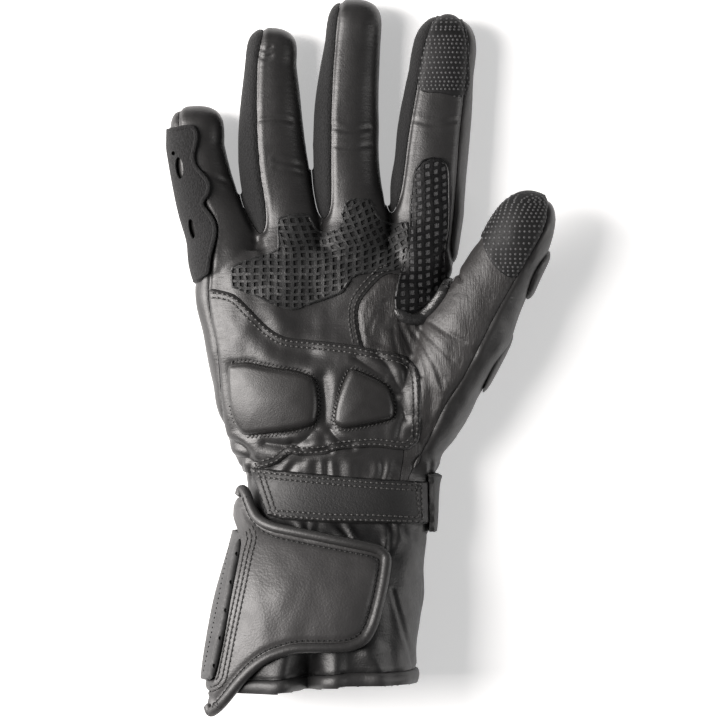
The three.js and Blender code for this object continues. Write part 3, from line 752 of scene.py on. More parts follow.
# outer edge of the cuff flap, from its upper left corner round to its lower left one
flapEdge = [
    (-54.6, -61), (-53.6, -57.4), (-51.2, -56), (-48.8, -57.2), (-47.2, -60), (-45, -66),
    (-42.4, -70.2), (-37.6, -73), (-30.9, -74.6),
    (-13.3, -78), (5.3, -81.6), (10.4, -83.9), (12.9, -87), (13.2, -91.1), (11.5, -101.7),
    (8.8, -112.7), (6.4, -119.6), (3, -124.8), (-2.2, -127.8), (-8.8, -129), (-26.5, -129.3),
    (-33.6, -130.9), (-39.8, -133.5), (-45.5, -137.9), (-50.8, -143.7), (-56.6, -151.4),
    (-60.4, -155.8), (-63.8, -158.2), (-66.6, -157.4), (-68.2, -153.4),
]
# left edge of the flap beside the side ridge, from the bottom up
flapRoot = [(-66, -148), (-62.4, -140), (-58.6, -122), (-54.6, -100), (-51.6, -83),
            (-53, -77), (-55, -70), (-55.2, -64)]

# Folds and creases: a line in plan, its half width and its depth; a depth below 0 is a ridge
folds = [
    # finger joints
    ([(-45, 108), (-38, 108.6), (-31, 107.6)], 0.9, 0.4),
    ([(-38, 90), (-32, 88.6), (-26.5, 87.6)], 1.0, 0.3),
    ([(-38, 86.4), (-32, 85.4), (-26, 84)], 0.9, 0.2),
    ([(-12, 104.6), (-5, 103), (4, 104.4)], 1.0, 0.4),
    ([(-12, 96.6), (-4, 95.4), (5, 96.8)], 0.9, 0.25),
    ([(24, 108), (33, 106), (44, 108)], 0.9, 0.25),
    ([(-72, 84), (-66, 82.4), (-60, 80)], 1.0, 0.35),
    ([(-46, 137.5), (-43, 136), (-40, 137)], 0.9, 0.4),
    ([(-46, 140.5), (-42.5, 139.5), (-40, 141)], 0.8, 0.3),
    # web of the thumb out to its base
    ([(17, 16), (20, 6), (24, -8), (24.5, -24)], 2.6, 1.2),
    ([(22, 13), (27, 3), (31, -12), (31, -28)], 3.0, 1.1),
    ([(28, 13), (33, 4), (37, -8)], 2.4, 0.6),
    ([(35, 16), (42, 10), (49, 4)], 2.4, 0.35),
    ([(14, 14), (16, 4), (19, -2)], 1.8, 0.6),
    ([(12, 24), (11, 16), (9, 8)], 3.4, 0.8),
    # finer creases fanned out below the web grip
    ([(15, 18), (16, 8), (19.5, -4)], 0.9, 0.4),
    ([(18, 17), (22, 8), (27, -7)], 0.9, 0.5),
    ([(22, 16), (27, 8), (33, -2), (37, -12)], 0.9, 0.45),
    ([(26, 15), (33, 8), (41, 0)], 0.8, 0.4),
    ([(31, 17), (39, 12), (47, 8)], 0.8, 0.35),
    ([(11, 26), (7, 20), (4, 12)], 0.9, 0.35),
    # heel of the hand
    ([(-17, -8), (-15.5, -20), (-16, -34)], 2.6, 1.1),
    ([(-20, -31), (-25, -36), (-33, -38), (-42, -37)], 2.2, 1.3),
    ([(-13, -31), (-9, -36), (-4, -38)], 1.8, 1.2),
    ([(-2, 1), (4, -3), (11, -7)], 1.6, 0.9),
    ([(7, 3), (13, -4), (18, -14)], 1.6, 0.9),
    ([(16, -16), (19, -24), (17, -34)], 1.8, 0.8),
    ([(22, 0), (20.5, -12), (21, -26)], 1.8, 0.7),
    ([(-44, 14), (-36, 6), (-22, 3)], 4.0, 1.0),
    ([(-30, -37), (-24, -41), (-14, -40)], 1.6, 1.0),
    # gathers at the little finger side
    ([(-60, -35), (-53, -38), (-49, -42)], 1.5, 1.2),
    ([(-56, -43), (-49, -44.5), (-44, -47)], 1.4, 1.2),
    # between palm grip and finger roots
    ([(-46, 54), (-44, 50), (-43, 46)], 1.5, 0.5),
    ([(14, 66), (14.6, 63), (14, 58)], 1.4, 0.7),
    # cuff
    ([(14.5, -102), (19.5, -121), (24.5, -137)], 0.9, 0.45),
    ([(15, -86), (20, -96), (26, -106)], 3.6, 0.4),
    ([(4, -130), (8, -136), (9, -150)], 4.0, -1.6),
    ([(-40, -136), (-38, -150)], 4.5, -1.2),
]

# upright ruffles above and below the strap
ruffles = {
    "above": 0.95, "below": 1.5, "pitch": 9.0, "shift": 1.2, "drift": 8, "driftSize": (13, 22, 14),
    "small": 0.35, "smallSize": (4, 12, 8), "sink": 0.45,
}


def gatherDepth(points):
    x, y = points[:, 0], points[:, 1]
    above = between(y, -60, -52) * (1 - between(y, -47.5, -43)) * ruffles["above"]
    below = between(-y, 70, 75) * (1 - between(-y, 80, 88)) * ruffles["below"]
    drift = noiseAt(points, ruffles["driftSize"], 11.3)
    turn = x / ruffles["pitch"] * 2 * math.pi + ruffles["drift"] * drift + ruffles["shift"]
    beat = 0.5 + 0.5 * np.cos(turn)
    small = noiseAt(points, ruffles["smallSize"], 5.1)
    return (above + below) * (beat + ruffles["small"] * small - ruffles["sink"])


def valley(away, half, depth, roll=0.0, rollAt=2.0):
    # how far a groove moves the skin, with a low roll beside it
    move = -depth * np.exp(-(away / half) ** 2)
    if roll:
        move += roll * np.exp(-((away - rollAt * half) / half) ** 2)
    return move


foldRoll = 0.25  # height beside a fold, as a share of its depth
padValley = {"half": 1.8, "depth": 0.7}
hemValley = {"half": 0.8, "depth": 0.6}
# the leather's own unevenness: amount, size of the waves and where the noise starts
unevenness = [(0.9, (15, 22, 18), 3.1), (0.3, (6, 9, 7), 7.7)]
cuffWaves = (1.4, (9, 30, 14), 21.5)


def foldForm(mesh):
    # seam valleys, creases, ruffles and the leather's own unevenness
    points = pointsOf(mesh)
    normals = normalsOf(mesh)
    share = palmShare(points) * between(normals[:, 2], -0.1, 0.4)
    seamTop = np.interp(points[:, 0], *np.array(sideSeamLevel).T)
    onHand = between(points[:, 1], -50, -44)
    move = np.zeros(len(points))
    width = seamLook["width"]
    for name, line in seams.items():
        away = awayFrom(points, smoothLine(line, 3))
        reach = between(points[:, 2], seamTop - 1, seamTop + 2) * onHand
        if name == "palmCurve":
            reach = reach * between(points[:, 1], 4, 8)  # the heel panel covers the rest
        move += reach * valley(away, width, seamLook["depth"], seamLook["roll"], seamLook["rollAt"])
    level = np.abs(points[:, 2] - seamTop)
    upright = between(0.85 - np.abs(normals[:, 2]), 0, 0.4)
    move += onHand * upright * valley(level, width, seamLook["depth"])
    for line, half, depth in folds:
        away = awayFrom(points, smoothLine(line, 5))
        move += share * valley(away, half, depth, depth * foldRoll)
    for name in ("padOuter", "padInner"):
        away = awayFrom(points, smoothLine(outlines[name], 2, True), True)
        move += share * valley(away, **padValley)
    raised = between(points[:, 2], 1.5, 6)
    hem = np.abs(points[:, 1] - np.interp(points[:, 0], *np.array(crossSeams["hem"]).T))
    move += valley(hem, **hemValley)
    move += gatherDepth(points) * raised
    uneven = sum(amount * noiseAt(points, size, seed) for amount, size, seed in unevenness)
    move += raised * uneven * (1 - 0.65 * between(points[:, 1], 40, 80))  # fingers are smoother
    amount, size, seed = cuffWaves
    move += raised * between(-points[:, 1], 84, 100) * amount * noiseAt(points, size, seed)
    points += normals * np.maximum(move, -handForm["deepest"])[:, None]
    movePoints(mesh, flattenBelow(points, 0))


foldedForm = plainForm.copy()
foldForm(foldedForm)
print("folds pressed in")


def treeOf(*meshes):
    # one ray tree over several meshes, in millimetres
    bm = bmeshOf(*meshes)
    tree = BVHTree.FromBMesh(bm)
    bm.free()
    return tree


overhead = 200  # rays fall from this level


def dropOn(tree, spot):
    return tree.ray_cast(Vector((spot[0], spot[1], overhead)), Vector((0, 0, -1)))


def levelAt(tree, x, y, fallback=0.0):
    hit = dropOn(tree, (x, y))
    return hit[0].z if hit[0] else fallback


foldedTree = treeOf(foldedForm)

# The leather shell and its panels

handSpan = {"tips": 200, "length": 268}  # from beyond the fingertips back past the wrist seam


def levelBlock(upper, lower):
    # what lies between two profiles across the hand, above the wrist
    profile = np.vstack([upper, np.array(lower)[::-1]])
    mesh = prismMesh(profile, 0, handSpan["length"])
    turn = Matrix(((1, 0, 0, 0), (0, 0, -1, handSpan["tips"]), (0, 1, 0, 0), (0, 0, 0, 1)))
    mesh.transform(turn)
    return mesh


def endBlock(line):
    # everything below a cross seam
    return prismMesh([(-150, -400), (150, -400), *line[::-1]])


def seamCutters():
    line = np.array(sideSeamLevel, float)
    gap = seamLook["gap"]
    sideCut = levelBlock(shifted(line, gap / 2), shifted(line, -gap / 2))
    below = levelBlock(line, [(x, -40) for x in line[:, 0]])
    wholeCut = None
    for points in seams.values():
        cut = ribbonMesh(smoothLine(points, 4), gap)
        wholeCut = cutMesh(wholeCut, cut, "UNION") if wholeCut else cut
    wholeCut = cutMesh(wholeCut, below, "DIFFERENCE")
    wholeCut = cutMesh(wholeCut, sideCut, "UNION")
    wholeCut = cutMesh(wholeCut, endBlock(crossSeams["wrist"]), "DIFFERENCE")
    for points in crossSeams.values():
        wholeCut = cutMesh(wholeCut, ribbonMesh(points, seamLook["fine"]), "UNION")
    return wholeCut


# each panel is known by a point on it: probe, looks, slot
panels = {
    "palm_leather": ((-4, 110, 27), ("smooth", "lining"), "smooth_leather"),
    "thumb_leather": ((60, 42, 45), ("brushed", "lining"), "brushed_leather"),
    "back_leather": ((-10, 0, 0), ("smooth", "lining"), "smooth_leather"),
    "fourchette_little_ring": ((-51, 110, 20), ("side",), "side_fabric"),
    "fourchette_ring_middle": ((-18, 110, 20), ("side",), "side_fabric"),
    "fourchette_middle_index": ((20, 110, 20), ("side",), "side_fabric"),
    "index_side": ((49.4, 105, 18), ("smooth", "lining"), "smooth_leather"),
    "outer_side": ((-73, 0, 20), ("smooth", "lining"), "smooth_leather"),
    "thumb_side": ((66, 16, 37), ("smooth", "lining"), "smooth_leather"),
    "wrist_gather": ((-10, -60, 41), ("cuff", "lining"), "cuff_leather"),
    "cuff_body": ((10, -110, 59), ("cuff", "lining"), "cuff_leather"),
    "cuff_hem_binding": ((10, -142, 60), ("tape",), "binding"),
}
smallestPanel = 60  # points; what is smaller is a crumb of the cut


def makePanels():
    outside = cutMesh(foldedForm.copy(), endBlock(hemEnd), "DIFFERENCE")
    for face in liningForm.polygons:
        face.material_index = 1
    giveSlots(liningForm)
    shell = cutMesh(outside, liningForm, "DIFFERENCE")
    parts = [part for part in looseParts(cutMesh(shell, seamCutters(), "DIFFERENCE"))
             if len(part.vertices) > smallestPanel]
    spots = [pointsOf(part) for part in parts]
    made = {}
    for name in panels:
        probe = panels[name][0]
        gaps = [np.min(np.sum((spot - probe) ** 2, axis=1)) for spot in spots]
        made[name] = parts[int(np.argmin(gaps))]
    print("panels found:", len({id(part) for part in made.values()}), "of", len(parts))
    rollHem(made["cuff_hem_binding"])
    return made


hemRoll = {"swell": 1.9, "sink": 0.7}


def rollHem(mesh):
    # rounds the binding's outside between its seam and its lower end
    points = pointsOf(mesh)
    normals = normalsOf(mesh)
    high = np.interp(points[:, 0], *np.array(crossSeams["hem"]).T)
    low = np.interp(points[:, 0], *np.array(hemEnd).T)
    place = np.clip((points[:, 1] - low) / (high - low), 0, 1) * 2 - 1
    swell = hemRoll["swell"] * np.sqrt(np.maximum(0, 1 - place * place)) - hemRoll["sink"]
    movePoints(mesh, flattenBelow(points + normals * swell[:, None], 0))


panelMeshes = makePanels()
print("panels cut")

# Pieces that lie on the leather


def skinPatch(form, outline, low=blockSpan[0], high=blockSpan[1]):
    # the part of the form's skin inside an outline, as an open sheet
    bm = bmeshOf(cutMesh(form.copy(), prismMesh(outline, low, high), "INTERSECT"))
    sides = [face for face in bm.faces if face.material_index == 1]
    bmesh.ops.delete(bm, geom=sides, context="FACES")
    return looseParts(meshOf(bm, "patch"))[0]


def thicken(mesh, depth):
    # gives an open sheet a back, each point moved straight in
    bm = bmeshOf(mesh)
    inward = {tuple(vert.co): vert.normal * -depth for vert in bm.verts}
    for vert in extruded(bm):
        vert.co += inward[tuple(vert.co)]
    bmesh.ops.recalc_face_normals(bm, faces=bm.faces)
    closed = meshOf(bm, "thickened")
    giveSlots(closed)
    return closed


def puffPatch(mesh, outline, low, high, edge, floor=None, sink=0.5, crown=0.0, crownSpan=20.0):
    # raises a sheet from its border up to its height with a rounded edge, and gives it a back
    points = pointsOf(mesh)
    normals = normalsOf(mesh)
    away = awayFrom(points, outline, True) / np.maximum(normals[:, 2], 0.3)
    if floor is not None:
        away = np.minimum(away, np.abs(points[:, 2] - floor))
    share = np.clip(away / edge, 0, 1)
    lift = low + (high - low) * np.sqrt(np.maximum(0, 1 - (1 - share) ** 2))
    lift += crown * np.sin(np.clip(away / crownSpan, 0, 1) * math.pi / 2)
    movePoints(mesh, points + normals * lift[:, None])
    return thicken(mesh, sink)


pieceMeshes = {}


def overlay(name, form, outline, low, high, edge, floor=12.0, closedSteps=4, **puff):
    # a piece that lies on the form: its height at the border, inside, and the width of its edge
    line = smoothLine(outline, closedSteps, True)
    sheet = skinPatch(form, line, floor)
    pieceMeshes[name] = puffPatch(sheet, line, low, high, edge, floor, **puff)


overlay("heel_panel", foldedForm, outlines["heelPanel"], 0.15, 1.2, 1.6)
overlay("heel_pad_outer", plainForm, outlines["padOuter"], 1.3, 4.4, 3.2, crown=0.9)
overlay("heel_pad_inner", plainForm, outlines["padInner"], 1.4, 4.4, 2.6, crown=0.7)
overlay("index_tip_grip", foldedForm, outlines["indexTip"], 0.1, 0.7, 0.8)
overlay("thumb_tip_grip", foldedForm, outlines["thumbTip"], 0.1, 0.7, 0.8, floor=32)
overlay("little_finger_guard", plainForm, outlines["littleGuard"], 0.2, 1.9, 1.5, floor=4,
        closedSteps=3)

# the thumb's two guards: a spot on its outer side, heading in plan, half height, half length, lift
thumbGuards = {
    "thumb_guard_tip": ((79, 38.5, 31), 1.06, 7.5, 12, 2.4),
    "thumb_guard_root": ((61.5, -1, 27), 1.09, 8.5, 15, 1.5),
}


def sideGuard(name, spot, heading, half, long, lift):
    # a soft-edged oval raised from the side of the form
    along = Vector((math.cos(heading), math.sin(heading), 0))
    out = Vector((along.y, -along.x, 0))
    turn = Matrix((Vector((0, 0, -1)), along, out)).to_4x4()
    local = turn @ Matrix.Translation(-Vector(spot))
    side = plainForm.copy()
    side.transform(local)
    turns = [k / 24 * math.tau for k in range(24)]
    oval = [(math.cos(angle) * half, math.sin(angle) * long) for angle in turns]
    pad = puffPatch(skinPatch(side, oval, -9, 40), oval, 0.1, lift, half * 0.7)
    pad.transform(local.inverted())
    pieceMeshes[name] = pad


for name, values in thumbGuards.items():
    sideGuard(name, *values)
print("patches raised")

# Net grips

nets = {
    "palm_grip": {"outline": "palmGrip", "pitch": (3.5, 3.15), "bar": 0.19, "slope": 0.06,
                  "floor": 0.4, "top": 1.3, "start": (-62, 4), "cells": (28, 24), "bend": 0.006,
                  "bendFrom": -25, "bendLeast": 0, "lean": 0.4, "uneven": 0.22,
                  "looks": ("palmNet", "palmNet", "hole")},
    "web_grip": {"outline": "webGrip", "pitch": (3.7, 3.5), "bar": 0.18, "slope": 0.05,
                 "floor": 0.7, "top": 1.2, "start": (10, 14), "cells": (10, 24), "bend": 0.012,
                 "bendFrom": 20, "bendLeast": -99, "lean": 0.0, "uneven": 0.15,
                 "looks": ("webNet", "webNet", "ground")},
}
# how the nets stray from a straight grid, in millimetres
netWander = {"seed": 7, "size": 9, "amount": 0.9, "speckSize": 2.4, "leanFrom": 50, "thick": 2.2}


def netMesh(values):
    noise.seed_set(netWander["seed"])  # the same each run
    bar, slope = values["bar"], values["slope"]
    stops = (0, bar, bar + slope, 1 - bar - slope, 1 - bar)
    across, along = values["cells"]
    columns = len(stops) * across
    rows = len(stops) * along
    bm = bmesh.new()
    bmesh.ops.create_grid(bm, x_segments=columns, y_segments=rows, size=0.5)
    floorPoints = set()
    for vert in bm.verts:
        i = round((vert.co.x + 0.5) * columns)
        j = round((vert.co.y + 0.5) * rows)
        u = (i // len(stops) + stops[i % len(stops)]) * values["pitch"][0] + values["start"][0]
        v = (j // len(stops) + stops[j % len(stops)]) * values["pitch"][1] + values["start"][1]
        hole = i % len(stops) in (2, 3) and j % len(stops) in (2, 3)
        y = v + values["bend"] * max(u - values["bendFrom"], values["bendLeast"]) ** 2
        x = u - values["lean"] * max(0, y - netWander["leanFrom"])
        size = netWander["size"]
        wander = noise.noise_vector(Vector((x / size, y / size, 4.2)))
        x += wander.x * netWander["amount"]
        y += wander.y * netWander["amount"]
        speck = netWander["speckSize"]
        uneven = noise.noise(Vector((x / speck, y / speck, 8.8))) * values["uneven"]
        level = values["floor"] if hole else values["top"] + uneven
        vert.co = (x, y, levelAt(foldedTree, x, y) + level)
        if hole:
            floorPoints.add(vert)
    # hole floors take the third material: the palm net gives them the near-black painted shade, the web
    # net its lighter ground
    for face in bm.faces:
        if all(vert in floorPoints for vert in face.verts):
            face.material_index = 2
    bmesh.ops.translate(bm, vec=(0, 0, -netWander["thick"]), verts=extruded(bm))
    bmesh.ops.recalc_face_normals(bm, faces=bm.faces)
    mesh = meshOf(bm, "net")
    giveSlots(mesh)
    return mesh


for name, values in nets.items():
    line = smoothLine(outlines[values["outline"]], 3, True)
    pieceMeshes[name] = cutMesh(netMesh(values), prismMesh(line), "INTERSECT")
print("nets laid")

# Dotted grips at the tips of the index finger and the thumb

dotLook = {"pitch": 2.1, "radius": 0.58, "height": 0.26, "raysFrom": 40, "nearest": 0.7}


def beadMesh(places, segments, rings, start=None, batchSize=40):
    # one small ball at each place, made in batches and joined
    joined = bmeshOf(start) if start else bmesh.new()
    for first in range(0, len(places), batchSize):
        batch = bmesh.new()
        for place in places[first:first + batchSize]:
            bmesh.ops.create_uvsphere(batch, u_segments=segments, v_segments=rings, radius=1,
                                      matrix=place)
        for face in batch.faces:
            face.material_index = 1 if start else 0
        joined.from_mesh(meshOf(batch))
    return meshOf(joined, "beads")


def addDots(name, rows, fromShare, toShare):
    # rings of dots round the tip, found by rays from outside towards the finger's middle line
    tree = treeOf(pieceMeshes[name])
    places = []
    line = smoothLine(np.vstack([rows[::3], rows[-1]]), 6)
    line = line[int(len(line) * fromShare):int(len(line) * toShare)]
    travelled = 0.0
    last = line[0]
    row = 0
    for point in line:
        travelled += math.hypot(point[0] - last[0], point[1] - last[1])
        last = point
        if travelled < dotLook["pitch"] * row:
            continue
        row += 1
        reach = point[3] / 2
        count = max(6, int(math.pi * reach / dotLook["pitch"]))
        for k in range(count + 1):
            turn = math.pi * (k + 0.5 * (row % 2)) / count
            out = Vector((math.cos(turn), 0, math.sin(turn)))
            middle = Vector(point[:3])
            spot, normal = tree.ray_cast(middle + out * dotLook["raysFrom"], -out)[:2]
            if spot is None or (spot - middle).length < reach * dotLook["nearest"]:
                continue  # the ray went past the patch or hit its far side
            turnTo = normal.to_track_quat("Z", "X").to_matrix().to_4x4()
            size = Matrix.Diagonal((dotLook["radius"], dotLook["radius"], dotLook["height"], 1))
            places.append(Matrix.Translation(spot) @ turnTo @ size)
    pieceMeshes[name] = beadMesh(places, 8, 4, pieceMeshes[name])


addDots("index_tip_grip", limbLine("index"), 0.5, 1.0)
addDots("thumb_tip_grip", limbLine("thumb"), 0.4, 1.0)
print("tips dotted")

# Tubes, welts and sunk holes


def tubeAlong(points, radius, flatten=1.0, segments=10, taper=1):
    # a closed tube through points in space, narrowing over its first and last few points
    bm = bmesh.new()
    rings = []
    line = [Vector(point) for point in points]
    for index, point in enumerate(line):
        ahead = line[min(index + 1, len(line) - 1)] - line[max(index - 1, 0)]
        turn = ahead.to_track_quat("Z", "Y").to_matrix().to_4x4()
        toEnd = min(index, len(line) - 1 - index)
        narrow = math.sqrt(min(1, (toEnd + 0.12) / taper))
        place = Matrix.Translation(point) @ turn @ Matrix.Diagonal((narrow, narrow * flatten, 1, 1))
        ring = bmesh.ops.create_circle(bm, segments=segments, radius=radius, matrix=place)
        rings.append(ring["verts"])
    loftRings(bm, rings)
    bmesh.ops.recalc_face_normals(bm, faces=bm.faces)
    return meshOf(bm, "tube")


def onSurface(tree, line, lift):
    # points of a plan line laid on the surface below
    hits = [dropOn(tree, spot) for spot in line]
    return [hit[0] + hit[1] * lift for hit in hits if hit[0]]


def joinMeshes(*meshes):
    joined = meshOf(bmeshOf(*meshes), "joined")
    giveSlots(joined)
    return joined


def addTube(name, line, lift, radius, flatten=0.9, taper=2, segments=8):
    # lays a welt on a piece and joins it to the piece
    source = pieceMeshes if name in pieceMeshes else panelMeshes
    laid = onSurface(treeOf(source[name]), line, lift)
    source[name] = joinMeshes(source[name], tubeAlong(laid, radius, flatten, segments, taper))


def sunkHoles(mesh, spots, depth):
    # round-bottomed holes: x, y, half width, half length, turn
    tree = treeOf(mesh)
    bm = bmesh.new()
    for x, y, half, long, turn in spots:
        spot = Vector((x, y, levelAt(tree, x, y)))
        place = Matrix.Translation(spot) @ Matrix.Rotation(turn, 4, "Z")
        size = Matrix.Diagonal((half, long, depth, 1))
        bmesh.ops.create_uvsphere(bm, u_segments=12, v_segments=6, radius=1, matrix=place @ size)
    # the hole walls take the second material, which the guard and the ridge give the near-black painted
    # shade
    for face in bm.faces:
        face.material_index = 1
    holes = meshOf(bm, "holes")
    giveSlots(holes)
    return cutMesh(mesh, holes, "DIFFERENCE")


# only hollows: nothing is set in them, and their walls take the near-black material as a painted shade
guardOvals = [
    # x, y, half width, half length, turn
    (-81.6, 86.4, 2.7, 5.2, 0.05),
    (-75.8, 59.0, 2.0, 4.8, 0.12),
    (-84.2, 93.2, 1.0, 1.0, 0.0),
]
weltLook = {"guardRadius": 1.0, "seamRadius": 1.05, "ovalDepth": 1.9, "foldRadius": 2.6,
            "netRadius": 0.55}

pieceMeshes["little_finger_guard"] = sunkHoles(pieceMeshes["little_finger_guard"], guardOvals,
                                               weltLook["ovalDepth"])
guardLine = smoothLine(outlines["littleGuard"][1:24], 3)
addTube("little_finger_guard", shifted(guardLine, -1.0), 0.1, weltLook["guardRadius"])
addTube("thumb_side", smoothLine(seams["thumbSide"][:-1], 8), 0.35, weltLook["seamRadius"])

# thick fold along the lower edge of the web grip
webFold = [(15.4, 22.6), (17.6, 20.6), (20.4, 18.8), (23.6, 18), (27, 18.4), (30, 20.2), (33, 23.2),
           (35.8, 26.8), (38, 30.2), (39.8, 34), (40.2, 37)]
webFoldLine = onSurface(foldedTree, smoothLine(webFold, 5), 0.9)
pieceMeshes["web_grip_edge"] = tubeAlong(webFoldLine, weltLook["foldRadius"], 0.72, 14, 8)
for name, border in (("palm_grip", "palmGrip"), ("web_grip", "webGrip")):
    borderLine = shifted(smoothLine(outlines[border], 3, True), -0.6)
    addTube(name, borderLine, -0.1, weltLook["netRadius"], 0.8, 1, 5)
print("welts laid")

# Cuff: flap, piping, side ridge

cuffLook = {
    "flapLift": 2.0, "flapThick": 1.4, "flapFloor": 16, "groove": 0.7, "grooveAt": 3.0,
    "grooveHalf": 1.3, "pipingRadius": 2.3, "pipingFlat": 0.86, "ridgeRadius": 1.9,
    "holeStep": 12.6, "pinStep": 2.2, "pinsAside": 4.4, "holeDepth": 1.2,
}
# amount, size of the waves and where the noise starts
flapWaves = [(0.5, (16, 24, 16), 31.0), (0.25, (7, 10, 7), 14.0)]
flapTree = treeOf(flapForm)


def flapSheet():
    inner = shifted(smoothLine(flapEdge, 4), -cuffLook["pipingRadius"])
    outline = np.vstack([inner, smoothLine(flapRoot, 3)])
    sheet = skinPatch(flapForm, outline, cuffLook["flapFloor"])
    points = pointsOf(sheet)
    normals = normalsOf(sheet)
    lift = np.full(len(points), cuffLook["flapLift"])
    edge = awayFrom(points, inner)
    lift += valley(edge - cuffLook["grooveAt"], cuffLook["grooveHalf"], cuffLook["groove"])
    lift += sum(amount * noiseAt(points, size, seed) for amount, size, seed in flapWaves)
    movePoints(sheet, points + normals * lift[:, None])
    return thicken(sheet, cuffLook["flapThick"])


def flapPiping():
    middle = shifted(smoothLine(flapEdge, 5), -cuffLook["pipingRadius"])
    laid = onSurface(flapTree, middle, cuffLook["flapLift"])
    laid = [point for point in laid if point.z > cuffLook["flapFloor"]]
    return tubeAlong(laid, cuffLook["pipingRadius"], cuffLook["pipingFlat"], 12)


def sideRidge():
    # the padded strip beside the flap, with a round ridge and small holes
    overlay("cuff_side_ridge", flapForm, outlines["sideRidge"], 0.3, 1.6, 1.6, floor=14)
    ridgeLine = smoothLine([(-53.6, -80), (-56, -92), (-59.4, -110), (-62.8, -127), (-65.8, -141)], 8)
    addTube("cuff_side_ridge", ridgeLine, 0.4, cuffLook["ridgeRadius"], 0.85, 3, 12)
    holes = [(x, y, 0.75, 1.0, 0.2) for x, y in evenly(ridgeLine, cuffLook["holeStep"])]
    pinLine = shifted(ridgeLine, -cuffLook["pinsAside"])
    holes += [(x, y, 0.34, 0.4, 0.0) for x, y in evenly(pinLine, cuffLook["pinStep"])]
    ridge = pieceMeshes["cuff_side_ridge"]
    pieceMeshes["cuff_side_ridge"] = sunkHoles(ridge, holes, cuffLook["holeDepth"])


pieceMeshes["cuff_flap"] = flapSheet()
pieceMeshes["flap_piping"] = flapPiping()
sideRidge()
overlay("wrist_strap", plainForm, outlines["strap"], 0.9, 2.3, 0.9, closedSteps=1)
overlay("strap_keeper", plainForm, outlines["keeper"], 2.0, 4.2, 1.2, closedSteps=1)
print("cuff dressed")

# Stitches

threadLook = {"length": 1.85, "pitch": 2.4, "thick": 0.54, "lift": 0.08, "longest": 1.8,
              "pin": (0.46, 0.46, 0.32, 1), "pinAside": 0.25}
# how far each row lies from the edge that it follows
rowsAside = {"heel": (-1.5, -3.6), "curve": (-1.7, -3.9), "strap": (-1.8, -4.0),
             "ridge": (1.2, 3.1, 5.0), "pads": 0.7, "flap": 0.8}
padStitch = {"turn": 0.75, "size": 0.75}
# near-black beads painted as shade in the needle holes
pinholes = []
topTree = treeOf(*panelMeshes.values(), *pieceMeshes.values())


def sew(line, turn=0.0, size=1.0):
    # one row of stitches along a plan line, each turned a little from it
    places = []
    length = threadLook["length"] * size
    spots = evenly(line, threadLook["pitch"] * size)
    thick = threadLook["thick"] * size
    steps = np.gradient(spots, axis=0)
    for (x, y), (dx, dy) in zip(spots, steps):
        heading = math.atan2(dy, dx) + turn
        reach = Vector((math.cos(heading), math.sin(heading), 0)) * length / 2
        start = dropOn(topTree, Vector((x, y, 0)) - reach)
        end = dropOn(topTree, Vector((x, y, 0)) + reach)
        if start[0] is None or end[0] is None:
            continue
        along = end[0] - start[0]
        if along.length > length * threadLook["longest"]:
            continue  # no stitch over an edge or a step
        place = Matrix.Translation((start[0] + end[0]) / 2 + start[1] * threadLook["lift"])
        turnTo = along.to_track_quat("X", "Z").to_matrix().to_4x4()
        shape = Matrix.Diagonal((along.length / 2, thick, thick, 1))
        places.append(place @ turnTo @ shape @ Matrix.Rotation(math.pi / 2, 4, "Y"))
        # a near-black bead at the stitch's end: painted shade for its needle hole
        pinPlace = Matrix.Translation(end[0] + reach * threadLook["pinAside"])
        pinholes.append(pinPlace @ Matrix.Diagonal(threadLook["pin"]))
    return places


def closedLine(name, steps=4):
    line = smoothLine(outlines[name], steps, True)
    return np.vstack([line, line[0]])


def sewRows(line, name):
    return [place for aside in rowsAside[name] for place in sew(shifted(line, aside))]


def allStitches():
    heel = smoothLine(outlines["heelPanel"][:27], 4)  # all but its left side, which is in the seam
    curve = smoothLine(seams["palmCurve"], 5)
    curve = curve[(curve[:, 1] > 6) & (curve[:, 0] < 14)]  # what shows above the heel panel
    places = sewRows(heel, "heel") + sewRows(curve, "curve")
    for name in ("padOuter", "padInner"):
        places += sew(shifted(closedLine(name), rowsAside["pads"]), **padStitch)
    places += sewRows(closedLine("strap", 1), "strap")
    places += sewRows(smoothLine(outlines["sideRidge"][:8], 4), "ridge")
    inner = -cuffLook["pipingRadius"] * 2 - rowsAside["flap"]
    dark = sew(shifted(smoothLine(flapEdge, 5), inner))  # the flap is sewn with the darker thread
    # the needle-hole beads and the flap's stitches take the second, near-black material: painted shade
    # for the holes, dark thread on the flap
    return beadMesh(pinholes + dark, 6, 3, beadMesh(places, 6, 4))


stitchMesh = allStitches()
print("stitches sewn:", len(stitchMesh.polygons), "faces")

# Everything into the frame

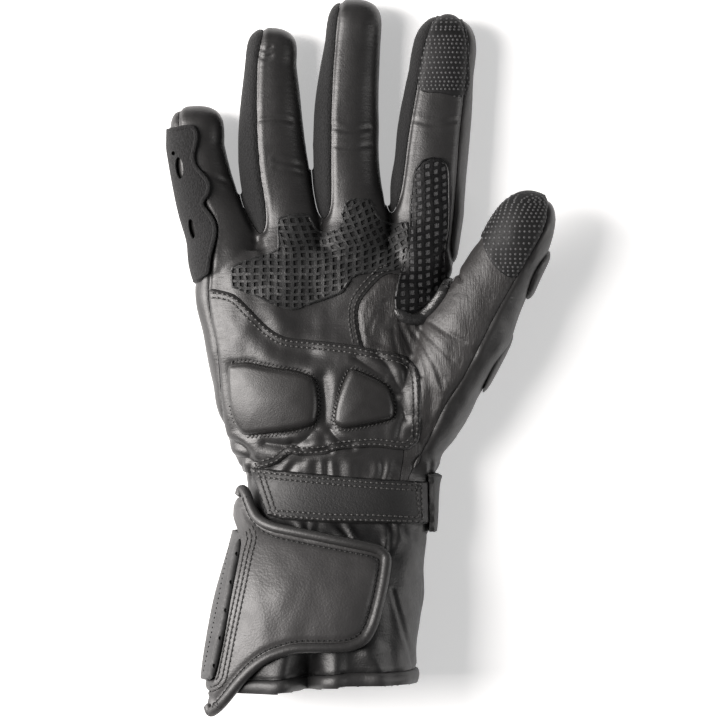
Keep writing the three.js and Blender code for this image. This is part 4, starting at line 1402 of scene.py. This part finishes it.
dressing = {
    # name: looks, slot
    "palm_grip": (nets["palm_grip"]["looks"], "grip_net"),
    "web_grip": (nets["web_grip"]["looks"], "grip_net"),
    "web_grip_edge": (("folded",), "folded_leather"),
    "heel_panel": (("smooth",), "smooth_leather"),
    "heel_pad_outer": (("pad",), "pad_leather"),
    "heel_pad_inner": (("pad",), "pad_leather"),
    "index_tip_grip": (("dotGround", "dots"), "grip_dots"),
    "thumb_tip_grip": (("dotGround", "dots"), "grip_dots"),
    "little_finger_guard": (("suede", "hole"), "guard_suede"),
    "thumb_guard_tip": (("pad",), "guard_suede"),
    "thumb_guard_root": (("pad",), "guard_suede"),
    "wrist_strap": (("strap",), "strap_leather"),
    "strap_keeper": (("strap",), "strap_leather"),
    "cuff_flap": (("pebbled",), "grained_leather"),
    "flap_piping": (("piping",), "piping_leather"),
    "cuff_side_ridge": (("ridge", "hole"), "ridge_rubber"),
}


def plainName(node):
    first, *rest = node.split("_")
    return first + "".join(word.capitalize() for word in rest) + "Piece"


# the palm leather is one piece here up to the fingertips, and so is the back with the thumb's
alsoReplaced = {
    "palm_leather": ("little_finger_leather", "ring_finger_leather", "middle_finger_leather",
                     "index_finger_leather"),
    "back_leather": ("thumb_back",),
}

for node, mesh in panelMeshes.items():
    nodes = (node, *alsoReplaced.get(node, ()))
    finishPiece(plainName(node), mesh, panels[node][1], nodes)
for node, mesh in pieceMeshes.items():
    looks, slot = dressing[node]
    made = finishPiece(plainName(node), mesh, looks, (node,))
finishPiece("threadStitches", stitchMesh, ("thread", "hole"))


# in metres; its own faint light keeps the shadow light, as on a lit table
floorLook = {"half": 4, "below": 0.0003, "dark": (0.9, 0.9, 0.9), "light": (0.93, 0.93, 0.93),
             "rough": 0.9, "glow": 0.42}


def makeFloor():
    bm = bmesh.new()
    bmesh.ops.create_grid(bm, x_segments=1, y_segments=1, size=floorLook["half"])
    bmesh.ops.translate(bm, vec=(0, 0, -floorLook["below"]), verts=bm.verts)
    floor = addObject("paleFloor", meshOf(bm, "paleFloor"))
    weave = Weave("paleFloor")
    tint = weave.ramp(weave.noise(60, 2), 0.0, 1.0)
    weave.wire("Base Color", weave.blend(tint, floorLook["dark"], floorLook["light"]))
    weave.fix("Roughness", floorLook["rough"])
    weave.fix("Emission Color", (1, 1, 1, 1))
    weave.fix("Emission Strength", floorLook["glow"])
    floor.data.materials.append(weave.material)


makeFloor()
counts = {}
for piece in pieces:
    piece.data.calc_loop_triangles()
    counts[piece.name] = len(piece.data.loop_triangles)
print("pieces:", len(pieces), "triangles:", sum(counts.values()), counts)
